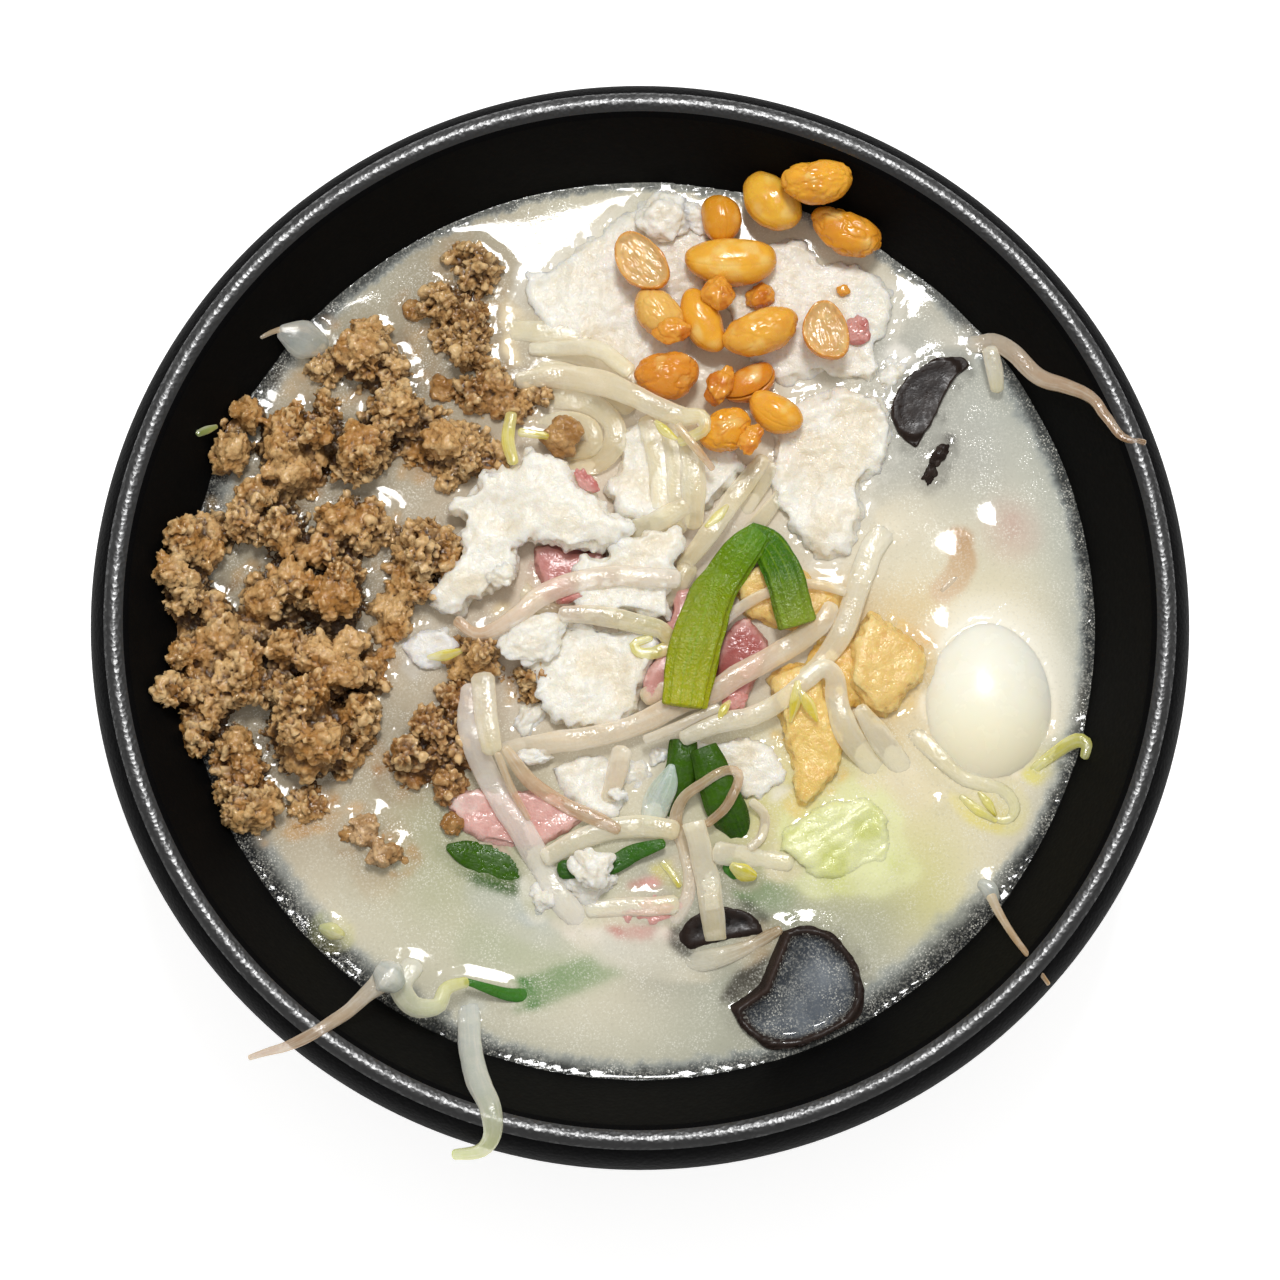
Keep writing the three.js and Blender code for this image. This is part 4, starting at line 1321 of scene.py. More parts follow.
@dataclass
class Bean:
    """One roasted soybean, its length and width in millimetres, its turn in degrees.

    roll is the angle at which its seam lies, in radians.
    """

    node: str
    length: float
    width: float
    turn: float
    kind: BeanKind = BeanKind.WHOLE
    roll: float = 0.0
    base: str = "#E8AC45"
    seed: int = 1

    def build(self, bed: Bed) -> None:
        """Makes, tints and publishes the bean, and lays it on the bed."""
        low, high = extent(self.node)
        mesh = ball(6)
        unit = places(mesh)
        tall = 0.44 * self.width
        full = 1 + 0.12 * np.sign(unit) * (1 - unit**2) ** 2
        co = unit * full * [self.length / 2, self.width / 2, tall]
        co[:, 1] += 0.06 * self.width * (unit[:, 0] ** 2)
        co += unit * (0.35 * fractal(co + 9.1 * self.seed, 4.5, 2, self.seed))[:, None]
        seam = unit[:, 2] * math.sin(self.roll) + unit[:, 1] * math.cos(self.roll)
        groove = np.exp(-((seam / 0.05) ** 2)) * rising(unit[:, 2], -0.2, 0.3)
        folds = {BeanKind.WRINKLED: 0.3, BeanKind.GLAZED: 0.15}.get(self.kind, 0.05)
        drawn = co / [2.2, 1.4, 1.6] + self.seed * 3.1
        crease = 1 - np.abs(fractal(drawn, 1.6, 3, self.seed))
        depth = {BeanKind.SPLIT: 1.6, BeanKind.WHOLE: 0.06}.get(self.kind, 0.0)
        co -= unit * (depth * groove + folds * rising(crease, 0.72, 1.0))[:, None]
        out = -np.hypot(unit[:, 0], unit[:, 1])
        if self.kind is BeanKind.HALF:
            face = 0.3 * tall - 0.55 * rising(out, -0.95, -0.72)
            face += 0.3 * fractal(co * [0.6, 1.6, 1], 1.4, 3, self.seed)
            co[:, 2] = np.minimum(co[:, 2], face)
        tilt = Matrix.Rotation(0.12 * math.sin(self.seed), 3, "X")
        placed = co @ np.array(Matrix.Rotation(math.radians(self.turn), 3, "Z") @ tilt).T
        placed += np.array([*((low + high) / 2)[:2], high[2] - placed[:, 2].max()])
        move(mesh, placed)
        mark_cavity(mesh, 10)
        brown = rising(fractal(placed, 4, 3, self.seed + 6), 0.1, 0.6)
        pale = rising(fractal(placed, 3, 2, self.seed + 16), 0.0, 0.6)
        # the pale patches are kept to the upper side as a painted highlight
        pale = pale * rising(unit[:, 2], 0.2, 0.9)
        # painted shade: darker and more orange towards the sides and underside
        colour = tinted(shade(self.base), "#D07A1E", 0.75 * rising(-unit[:, 2], -0.75, 0.35))
        colour = tinted(colour, "#D5872A", 0.45 * brown)
        # paler patches, lit on the upper side as a painted highlight
        colour = tinted(colour, "#F9DF8E", 0.55 * pale)
        if self.kind is BeanKind.HALF:
            cut = rising(out, -0.97, -0.85) * (unit[:, 2] > 0)
            veins = rising(fractal(placed, 1.5, 3, self.seed + 2), -0.2, 0.5)
            colour = blend(colour, shade("#F2CB8A") * (0.75 + 0.25 * veins[:, None]), 0.85 * cut)
        if self.kind is BeanKind.SPLIT:
            # painted shade in the split
            colour = tinted(colour, "#6A380C", groove)
        paint(mesh, colour)
        bed.add(mesh, 1.0)
        publish(mesh, self.node + "_dressed", "bean", (self.node,))


# ---- stalks, noodles and leaves --------------------------------------------------------------


class Knot(NamedTuple):
    """A plan point on a strand's way, its width there, and how far it sinks below its rest."""

    x: float
    y: float
    width: float
    sink: float = 0.0


@dataclass
class Strand:
    """A stalk, sprout or noodle laid over what is already in the bowl.

    Lengths are in millimetres. tints are colours at shares of its length. flat is thickness over
    width, slope how steeply it hangs between its rests, ribs and rib the number and height of the
    ribs along it, blunt the length of its round ends over its width, and cut gives it square ends.
    see is the share of what lies under it that shows through, fringe how much painted shade darkens
    its edges, and wobble how far it strays from a smooth way.
    """

    # share of its own colour left at the edges by the painted shade
    EDGE_SHADE = (0.72, 0.56, 0.36)

    knots: list[tuple]
    tints: list[tuple[float, str]]
    flat: float = 0.42
    slope: float = 0.5
    sides: int = 16
    ribs: int = 3
    rib: float = 0.06
    blunt: float = 0.3
    cut: bool = False
    see: float = 0.15
    edge_shade_share: float = 0.12
    wobble: float = 0.35

    def line(self, seed: int, step: float = 0.8) -> Array:
        """Even rows of x, y, width and sink along a smooth curve through the knots."""
        rows = np.array([Knot(*k) for k in self.knots], float)
        gaps = np.maximum(np.hypot(*np.diff(rows[:, :2], axis=0).T), 0.3)
        reach = np.concatenate([[0], np.cumsum(np.sqrt(gaps))])
        slopes = np.gradient(rows, reach, axis=0)
        fine = []
        for i, gap in enumerate(gaps):
            span = reach[i + 1] - reach[i]
            t = np.linspace(0, 1, max(4, int(gap / 0.25)), endpoint=i == len(gaps) - 1)[:, None]
            fine.append(
                (2 * t**3 - 3 * t**2 + 1) * rows[i] + (t**3 - 2 * t**2 + t) * span * slopes[i]
                + (3 * t**2 - 2 * t**3) * rows[i + 1] + (t**3 - t**2) * span * slopes[i + 1]
            )
        curve = np.concatenate(fine)
        length = np.concatenate([[0], np.cumsum(np.hypot(*np.diff(curve[:, :2], axis=0).T))])
        even = np.linspace(0, length[-1], max(6, int(length[-1] / step)))
        out = columns(*(np.interp(even, length, column) for column in curve.T))
        at = columns(even, 9.7 * seed, 0)
        out[:, 0] += self.wobble * fractal(at, 9, 2, seed)
        out[:, 1] += self.wobble * fractal(at, 9, 2, seed + 40)
        out[:, 2] *= 1 + 0.14 * fractal(at, 12, 3, seed + 80)
        return out

    def laid(self, bed: Bed, seed: int) -> tuple[Array, Array]:
        """Lays the strand.

        Args:
            bed: what is already in the bowl.
            seed: choice of unevenness.

        Returns:
            The points of its middle line and the width at each.
        """
        rows = self.line(seed)
        x, y, width, sink = rows.T
        way = np.gradient(rows[:, :2], axis=0)
        way /= np.linalg.norm(way, axis=1)[:, None]
        under = np.max([
            bed.top(x - side * width * way[:, 1], y + side * width * way[:, 0])
            for side in (-0.35, 0, 0.35)
        ], axis=0)
        rest = under + width * self.flat / 2 - 0.3 - sink
        run = np.hypot(x[:, None] - x[None], y[:, None] - y[None])
        hung = np.max(rest[None] - self.slope * run, axis=1)
        calm = np.convolve(np.pad(hung, 3, mode="edge"), np.ones(7) / 7, "valid")
        return columns(x, y, calm), width

    def shape(self, bed: Bed, seed: int = 1) -> Mesh:
        """Makes the strand's mesh round its laid line.

        Args:
            bed: what is already in the bowl.
            seed: choice of unevenness.

        Returns:
            The mesh, with its tint and a map of millimetres along and round it.
        """
        line, width = self.laid(bed, seed)
        count = len(line)
        bm = bmesh.new()
        bm.loops.layers.uv.new("UVMap")
        bmesh.ops.create_grid(
            bm, x_segments=count + 3, y_segments=self.sides, size=0.5, calc_uvs=True
        )
        mesh = to_mesh(bm, "strand")
        grid = places(mesh)
        ring = np.rint((grid[:, 0] + 0.5) * (count + 3)).astype(int)
        turn = 2 * math.pi * (grid[:, 1] + 0.5)
        along = np.gradient(line, axis=0)
        along /= np.linalg.norm(along, axis=1)[:, None]
        side = columns(along[:, 1], -along[:, 0], 0)
        side /= np.linalg.norm(side, axis=1)[:, None]
        up = np.cross(side, along)
        at = np.clip(ring - 2, 0, count - 1)
        near, reach = (0.9, 0.06) if self.cut else (0.72, self.blunt)
        ends = [ring == stop for stop in (0, 1, count + 2, count + 3)]
        cap = np.select(ends, [0.0, near, near, 0.0], 1.0)
        push = np.select(ends, [-1.0, -0.65, 0.65, 1.0], 0.0)
        place = np.cumsum(np.linalg.norm(np.diff(line, axis=0, prepend=line[:1]), axis=1))
        ribbed = 1 + self.rib * np.cos(self.ribs * turn + 0.06 * place[at] * math.sin(seed))
        half = width[at] / 2 * cap * ribbed
        half = half * (1 + 0.07 * fractal(line[at] + grid * [0, 9, 0], 3.4, 2, seed))
        wide, high = (np.sign(f) * np.abs(f) ** 0.9 for f in (np.cos(turn), np.sin(turn)))
        co = line[at] + side[at] * (half * wide)[:, None]
        co += up[at] * (half * self.flat * high)[:, None]
        co += along[at] * (push * reach * width[at])[:, None]
        move(mesh, co)
        stops = [stop for stop, _ in self.tints]
        hues = np.array([shade(code) for _, code in self.tints])
        share = at / (count - 1)
        own = columns(*(np.interp(share, stops, hue) for hue in hues.T))
        out = np.abs(np.cos(turn))
        hue = blend(own, bed.seen(co[:, 0], co[:, 1]), self.see * (0.55 + 0.9 * out**2))
        # painted shade: the edges, which face sideways, darkened towards a deeper shade of their own
        # colour
        paint(mesh, blend(hue, own * self.EDGE_SHADE, self.edge_shade_share * out**5))
        layer = mesh.uv_layers[0]
        flat = np.empty(len(layer.data) * 2)
        layer.data.foreach_get("uv", flat)
        flat = flat.reshape(-1, 2) * [place[-1], math.pi * width.mean()] + [17.0 * seed, 5.0 * seed]
        layer.data.foreach_set("uv", flat.ravel())
        bm = to_bmesh(mesh)
        bmesh.ops.remove_doubles(bm, verts=bm.verts, dist=1e-4)
        bmesh.ops.recalc_face_normals(bm, faces=bm.faces)
        return to_mesh(bm, "strand")


CREAM = [(0, "#F6EACE"), (0.5, "#F9EDD2"), (1, "#F3E4BA")]
PEACH = [(0, "#F8E6CC"), (0.5, "#F6DCBE"), (1, "#F6E2C2")]
BROWN = [(0, "#DFC29E"), (0.6, "#CFA67A"), (1, "#BE9468")]
MILKY = [(0, "#B9C0BC"), (0.5, "#C6CCC6"), (1, "#B4BCB4")]
NOODLE = [(0, "#F6E1B4"), (0.5, "#FCECC8"), (1, "#F4DCAC")]
YELLOW = [(0, "#EFE28A"), (0.5, "#EFE04A"), (1, "#E8D62E")]


@dataclass
class StrandPiece:
    """One or several strands of a kind, laid in order and published as one piece."""

    name: str
    slot: str
    strands: list[Strand]
    nodes: tuple[str, ...] = ()
    clear: float = 2.2

    def build(self, bed: Bed) -> None:
        """Lays the strands one after another and publishes them."""
        meshes = []
        for i, strand in enumerate(self.strands):
            mesh = strand.shape(bed, 3 + 7 * i + len(self.name))
            bed.add(mesh, self.clear)
            meshes.append(mesh)
        publish(joined(meshes, self.name), self.name, self.slot, self.nodes)


@dataclass
class Crumbs:
    """Small torn bits lying on whatever is under them, as one piece.

    Each bit is its x, y, length, width, height, turn in degrees and how far it is sunk.
    """

    name: str
    slot: str
    bits: list[tuple[float, ...]]
    base: str
    second: str
    rough: float = 0.8
    seed: int = 1
    clear: float = 1.5

    def build(self, bed: Bed) -> None:
        """Makes, tints and publishes the bits."""
        meshes = []
        for i, (x, y, length, width, tall, turn, sunk) in enumerate(self.bits):
            mesh = ball(5 if length > 3.5 else 4)
            unit = places(mesh)
            seed = self.seed + 5 * i
            co = unit * (1 + self.rough * fractal(unit * 3 + seed, 2.4, 3, seed))[:, None]
            co = co * [length / 2, width / 2, tall / 2]
            co += unit * (0.35 * fractal(co, 1.1, 2, seed))[:, None]
            co = co @ np.array(Matrix.Rotation(math.radians(turn), 3, "Z")).T
            rest = float(bed.top(np.array([x]), np.array([y]))[0])
            move(mesh, co + [x, y, rest + 0.3 * tall - sunk])
            share = rising(fractal(places(mesh), 2, 2, seed), -0.2, 0.5)
            paint(mesh, tinted(shade(self.base), self.second, share))
            mark_cavity(mesh, 6)
            bed.add(mesh, self.clear)
            meshes.append(mesh)
        publish(joined(meshes, self.name), self.name, self.slot)


# ---- the broth -------------------------------------------------------------------------------


@dataclass
class Broth:
    """The broth: a closed pool whose surface creeps up what stands in it and shows what is sunk.

    creep is how far it climbs what stands in it and climb how far it climbs the wall. Its side
    follows the wall: skirt is the depth of the first ring of its side and deep the heights of the
    others. Lengths are in millimetres.
    """

    # What colours the broth round it: node, colour, reach and greatest share.
    STAINS = (
        ("cabbage", "#DAD48C", 22, 0.9), ("wood_ear_side", "#B4B4AC", 22, 0.85),
        ("quail_egg", "#E8DCBA", 22, 0.8), ("wood_ear_back", "#8F8F86", 20, 0.7),
        ("mince_heap", "#A3937A", 24, 0.6), ("mince_upper", "#A3967F", 20, 0.65),
        ("leaf_left", "#B2B692", 24, 0.7), ("tofu_side", "#E2C792", 9, 0.6),
        ("wood_ear_front", "#A4A695", 20, 0.7), ("slice_middle", "#EBDAC6", 40, 0.9),
    )
    # Cooler broth near the wall: bearing in radians, colour, reach and greatest share.
    SIDES = ((0.15, "#C2C6BC", 10, 0.8), (-1.66, "#BDBDAA", 16, 0.6))
    # Thin edge over the dark wall: bearing in degrees, width and share of the wall that is seen.
    EDGE = (
        (-180, 6, 0.95), (-150, 7, 0.97), (-125, 7, 0.95), (-112, 4.5, 0.85), (-75, 4, 0.8),
        (-62, 7, 0.92), (-45, 9, 0.95), (-30, 3.6, 0.88), (-15, 3.4, 0.85), (0, 4, 0.85),
        (15, 3.4, 0.85), (30, 4.5, 0.8), (45, 3, 0.7), (60, 2, 0.6), (90, 1.5, 0.6), (120, 2, 0.7),
        (150, 5, 0.9), (180, 6, 0.95),
    )
    # Low swellings of the surface: x, y, width and height.
    BULGES = (
        (57.4, 12, 3.4, 0.5), (65, 17.5, 3.2, 0.45), (55.5, -1, 2.8, 0.36), (54, -33, 1.6, 0.4),
        (-47, -43, 8, 0.5), (48, -17.5, 3.0, 0.4), (-60, -20, 4, 0.4), (51, 57, 6, 0.5),
    )
    # Depth below which nothing is seen, and radius beyond which things are seen less.
    BLIND = 14
    OUTER = 79

    creep: float = 0.55
    climb: float = 0.18
    skirt: float = 4.0
    deep: tuple[float, ...] = (46.5, 30.5, 17.0, 9.8)

    def edge(self, bearing: Array) -> tuple[Array, Array]:
        """Width of the thin edge and the wall's share in it, at bearings in degrees."""
        bearings, widths, shares = zip(*self.EDGE)
        return np.interp(bearing, bearings, widths), np.interp(bearing, bearings, shares)

    def open_colour(self, x: Array, y: Array) -> Array:
        """Colour of the open broth at plan points: milky, with stains near what colours it."""
        flat = columns(x, y, 0)
        colour = tinted(shade("#E6DDC4"), "#D2D0BA", rising(fractal(flat, 30, 3, 5), -0.3, 0.6))
        for node, code, reach, most in self.STAINS:
            low, high = (corner[:2] for corner in extent(node))
            gap = np.maximum(np.maximum(low - flat[:, :2], flat[:, :2] - high), 0)
            near = np.exp(-((np.hypot(*gap.T) / (0.5 * reach)) ** 2))
            colour = tinted(colour, code, most * near)
        for bearing, code, reach, most in self.SIDES:
            side = rising(np.cos(np.arctan2(y, x) - bearing), 0.7, 0.95)
            near = np.exp(-(((R_BROTH - np.hypot(x, y)) / reach) ** 2))
            colour = tinted(colour, code, most * side * near)
        return colour

    def wall_share(self, x: Array, y: Array) -> Array:
        """How far the dark wall shows through the thin broth beside it, from 0 to 1."""
        flat = columns(x, y, 0)
        band, dark = self.edge(np.degrees(np.arctan2(y, x)))
        ragged = 0.9 * fractal(flat, 2.2, 3, 61)
        inside = R_BROTH - np.hypot(x, y) + ragged + 0.8 * noise(flat, 0.5, 62)
        return dark * (1 - rising(inside / band, 0.0, 1.0))

    def lift(self, bed: Bed, x: Array, y: Array) -> Array:
        """How far the surface climbs what stands in it, over the bed's plan grid."""
        depth = LEVEL - bed.height
        out = rising(-depth, 0.2, 1.4)
        low, high = (corner[:2] for corner in extent("quail_egg"))
        wide, long = high - low
        far = np.hypot((2 * x - low[0] - high[0]) / wide, (2 * y - low[1] - high[1]) / long)
        creep = self.creep * (1 + 1.2 * (1 - rising(far, 1.0, 1.4)))
        lift = 0.6 * spread(out, 0.8 / Bed.PITCH) + 0.5 * spread(out, 2.2 / Bed.PITCH)
        return np.where(depth < 0, np.minimum(creep * lift, -0.5 * depth), creep * lift)

    def fields(self, bed: Bed) -> tuple[Array, Array]:
        """Rise of the surface and its colour over the bed's plan grid, with painted shade where
        pieces crowd round the broth.
        """
        x, y = np.meshgrid(bed.axis, bed.axis)
        depth = LEVEL - bed.height
        sunk = np.maximum(depth, 0)
        veil = np.where(depth < 0, np.exp(depth / 0.6), np.exp(-sunk / bed.clear))
        veil[depth > self.BLIND] = 0
        veil[np.hypot(x, y) > self.OUTER] *= 0.4
        near = np.exp(-sunk / 1.4)
        layer = np.dstack([bed.colour, np.ones_like(depth)])
        sharp = spread(layer * (veil * near)[..., None], 0.45 / Bed.PITCH)
        soft = spread(layer * (veil * (1 - near))[..., None], 1.5 / Bed.PITCH)
        total = sharp + soft
        # painted shade: the broth slightly darker where pieces crowd round it
        crowd_shade = spread(rising(-depth, 0.5, 3.0), 4.0 / Bed.PITCH).ravel()
        colour = self.open_colour(x.ravel(), y.ravel())
        colour *= (1 - 0.06 * rising(crowd_shade, 0.1, 0.8))[:, None]
        wall = self.wall_share(x.ravel(), y.ravel())
        colour = tinted(colour, "#A2A9A8", 0.75 * rising(wall, 0.02, 0.5))
        colour = tinted(colour, "#191B1E", rising(wall, 0.2, 1.0)).reshape(*x.shape, 3)
        share = np.clip(total[..., 3:], 0, 1)
        shown = colour * (1 - share) + total[..., :3] * share / np.maximum(total[..., 3:], 1e-6)
        return self.lift(bed, x, y), shown

    def disc(self) -> Mesh:
        """A flat grid of faces out to the wall, with a round rim."""
        half = R_BROTH + 1.0
        count = int(round(2 * half / Bed.PITCH))
        bm = bmesh.new()
        bmesh.ops.create_grid(bm, x_segments=count, y_segments=count, size=half)
        far = [v for v in bm.verts if math.hypot(v.co.x, v.co.y) > half + 0.45 * Bed.PITCH]
        bmesh.ops.delete(bm, geom=far, context="VERTS")
        for v in {v for e in bm.edges if e.is_boundary for v in e.verts}:
            v.co *= half / math.hypot(v.co.x, v.co.y)
        return to_mesh(bm, "broth")

    def heights(self, co: Array, lift: Array) -> Array:
        """Heights of surface points for how far the surface climbs what stands in it."""
        reach = np.hypot(co[:, 0], co[:, 1])
        bearing = np.degrees(np.arctan2(co[:, 1], co[:, 0]))
        band = self.edge(bearing)[0]
        wet = rising(reach, R_BROTH - band, R_BROTH) * rising(band, 3, 8)
        streak = 0.14 * wet * (0.5 + fractal(columns(reach / 1.5, bearing / 9, 0), 1.0, 2, 71))
        uneven = 0.6 + fractal(columns(bearing / 16, 0, 0), 1.0, 2, 8)
        climb = np.exp(-(R_BROTH + 0.6 - reach) / 1.6) * self.climb * uneven
        for x, y, wide, tall in self.BULGES:
            climb += tall * np.exp(-((co[:, 0] - x) ** 2 + (co[:, 1] - y) ** 2) / wide**2)
        return LEVEL + lift + climb + streak + 0.03 * fractal(co, 7, 2, 4)

    def build(self, bed: Bed) -> None:
        """Makes, tints and publishes the broth."""
        lift, shown = self.fields(bed)
        mesh = self.disc()
        co = places(mesh)
        row, col = bed.cell(co[:, 0], co[:, 1])
        co[:, 2] = self.heights(co, lift[row, col])
        move(mesh, co)
        paint(mesh, shown[row, col])
        bm = to_bmesh(mesh)
        rim = [e for e in bm.edges if e.is_boundary]
        radii, heights = zip(*WALL[1:])
        for z in (LEVEL - self.skirt, *self.deep):
            made = bmesh.ops.extrude_edge_only(bm, edges=rim)["geom"]
            rim = [e for e in made if isinstance(e, bmesh.types.BMEdge)]
            radius = float(np.interp(z, heights, radii)) - 0.1
            for v in {v for e in rim for v in e.verts}:
                around = math.hypot(v.co.x, v.co.y)
                v.co = Vector((v.co.x * radius / around, v.co.y * radius / around, z))
        bmesh.ops.holes_fill(bm, edges=rim, sides=0)
        bmesh.ops.recalc_face_normals(bm, faces=bm.faces)
        publish(to_mesh(bm, "broth"), "broth_dressed", "broth", ("broth",))


# ---- studio ----------------------------------------------------------------------------------


@dataclass(frozen=True)
class Studio:
    """Camera, pale floor, even room light and one window-like lamp behind the bowl.

    Lengths are in metres, the camera's elevation is in degrees and the lamp's turn in radians. What
    is mirrored sees the room darker by dimmed.
    """

    lens: float = 110
    sensor: float = 36
    aim: tuple[float, float, float] = (0, -0.0041, 0.066)
    distance: float = 0.704
    elevation: float = 80.5
    floor_half: float = 3
    floor_colour: tuple[float, ...] = (0.9, 0.9, 0.9, 1)
    floor_glow: float = 0.6
    room_colour: tuple[float, ...] = (1, 0.995, 0.985, 1)
    room_strength: float = 0.62
    dimmed: float = 0.5
    lamp_at: tuple[float, float, float] = (0.04, 0.6, 1.5)
    lamp_aim: tuple[float, float, float] = (0, 0, 0.06)
    lamp_size: tuple[float, float] = (0.3, 0.33)
    lamp_power: float = 12.0
    lamp_turn: float = -0.13

    def place(self, name: str, data: bpy.types.ID) -> bpy.types.Object:
        """Puts a new object in the scene."""
        made = bpy.data.objects.new(name, data)
        bpy.context.scene.collection.objects.link(made)
        return made

    def camera(self) -> None:
        """Makes the camera."""
        lens = bpy.data.cameras.new("camera")
        lens.lens = self.lens
        lens.sensor_width = self.sensor
        eye = self.place("camera", lens)
        target = Vector(self.aim)
        high = math.radians(self.elevation)
        eye.location = target + self.distance * Vector((0, -math.cos(high), math.sin(high)))
        eye.rotation_euler = (target - eye.location).to_track_quat("-Z", "Y").to_euler()
        bpy.context.scene.camera = eye

    def floor(self) -> None:
        """Makes the floor, which is slightly bright of itself so that its shadow stays faint."""
        bm = bmesh.new()
        bmesh.ops.create_grid(bm, x_segments=2, y_segments=2, size=self.floor_half)
        mesh = to_mesh(bm, "floor")
        paper = bpy.data.materials.new("floor")
        paper.use_nodes = True
        Tree(paper.node_tree).feed(paper.node_tree.nodes["Principled BSDF"], {
            "Base Color": self.floor_colour, "Roughness": 0.9, "Emission Color": (1, 1, 1, 1),
            "Emission Strength": self.floor_glow,
        })
        mesh.materials.append(paper)
        self.place("floor", mesh)

    def room(self) -> None:
        """Makes the even light of the room."""
        world = bpy.data.worlds.new("room")
        world.use_nodes = True
        tree = Tree(world.node_tree)
        mirrored = tree.add("ShaderNodeLightPath").outputs["Is Glossy Ray"]
        less = tree.times(mirrored, self.dimmed)
        strength = tree.minus(self.room_strength, less)
        background = world.node_tree.nodes["Background"]
        tree.feed(background, {"Color": self.room_colour, "Strength": strength})
        bpy.context.scene.world = world

    def lamp(self) -> None:
        """Makes the lamp."""
        lamp = bpy.data.lights.new("window", "AREA")
        lamp.shape = "RECTANGLE"
        lamp.size, lamp.size_y = self.lamp_size
        lamp.energy = self.lamp_power
        window = self.place("window", lamp)
        window.location = self.lamp_at
        way = Vector(self.lamp_aim) - window.location
        window.rotation_euler = way.to_track_quat("-Z", "Y").to_euler()
        window.rotation_euler.z += self.lamp_turn

    def build(self) -> None:
        """Makes the camera, the floor and the lights."""
        bpy.context.scene.view_settings.view_transform = "Standard"
        self.camera()
        self.floor()
        self.room()
        self.lamp()


# ---- everything in order ---------------------------------------------------------------------

SLICE = ("#F4F0E4", "#ECE2CC")


def slabs_low() -> list[Slab]:
    """Flat pieces of the lower layer."""
    meaty = {"fibre": 0.15, "pits": 0.12, "thin": 0.6, "flake": 0.12}
    soaked = {
        "fibre": 0.3, "pits": 0.22, "flake": 0.08, "thin": 1.1, "ragged": 0.9, "edge": 2.4,
        "soft": 7, "wave": 6.0, "swell": 0.5,
    }
    return [
        Ham("ham_middle", "ham", "#CF958B", "#DDB0A4", 3, ragged=0.4, **meaty),
        Ham("ham_back", "ham", "#CE8E88", "#DBA89E", 4, ragged=0.4, **meaty),
        Slab("slice_upper_left", "slice", *SLICE, 12, turn=40),
        Slab("slice_right_upper", "slice", *SLICE, 13, turn=-20),
        Slab("slice_centre", "slice", *SLICE, 14, turn=60),
        Slab("slice_right_lower", "slice", *SLICE, 15, turn=10),
        Slab("slice_front_centre", "slice", *SLICE, 16, turn=80),
        Slab("slice_front_right", "slice", *SLICE, 17, turn=20),
        Ham("ham_front", "ham", "#E6B6AC", "#F2D6CC", 5, ragged=0.9, turn=30, **meaty),
        Slab(
            "cabbage", "cabbage", "#E9EBB2", "#D6DA86", 6, swell=1.0, wave=7, fibre=0.7,
            thread=(11, 2.6, 2.6), pits=0.1, flake=0.1, clear=4.0, turn=35, thin=1.2, edge=2.4,
            ragged=1.8, soft=6, dip=(-50, -2, 0.16),
        ),
        WoodEar(
            "wood_ear_back", "ear", "#241D1A", "#2E2623", 7, crown=61.0, hollow=60.8, clear=3.4,
            fold=((4, -60.3), (23.5, -56)),
        ),
        WoodEar(
            "wood_ear_front", "ear", "#5A6068", "#7C8288", 8, band=2.6, crown=62.0, hollow=60.3,
            filmed=True, fold=((26.2, -55.8), (22.0, -66.2), (15.4, -70.9)),
        ),
        WoodEar(
            "wood_ear_side", "ear", "#211917", "#2B221F", 9, crown=61.8, hollow=61.7, clear=4.0,
        ),
        Slab("tofu_back", "tofu", "#F2CB76", "#E8B85A", 10, turn=30, **soaked),
        Slab("tofu_front", "tofu", "#F2CF78", "#E8B85A", 11, turn=70, **soaked),
        Slab("tofu_side", "tofu", "#F4D284", "#E6B054", 12, turn=-30, **soaked),
        Ham("ham_side", "ham", "#AE5E58", "#C27C74", 6, ragged=0.4, **meaty),
    ]


def slabs_high() -> list[Slab]:
    """Flat pieces of the upper layer."""
    return [
        Slab("slice_middle", "slice", *SLICE, 18, turn=10),
        Slab("slice_lower", "slice", *SLICE, 19, turn=30),
        Slab("slice_fold", "slice", *SLICE, 20, turn=45, swell=1.0),
        Slab("slice_small", "slice", "#ECEBE8", "#F2EFEA", 21),
    ]


def minces() -> list[Mince]:
    """The browned minced meat."""
    return [
        Mince("mince_heap", 31, voxel=0.44),
        Mince("mince_upper", 32, "#A0703A", "#D0A468"),
        Mince("mince_right", 33, "#A4713A", "#CFA266"),
        Mince("mince_lower", 34, "#98642E", "#BC8C54"),
        Mince("mince_middle", 35, "#AC793E", "#D8AA6A"),
        Mince("mince_floating", 36, "#B88C58", "#DEBA8C"),
    ]


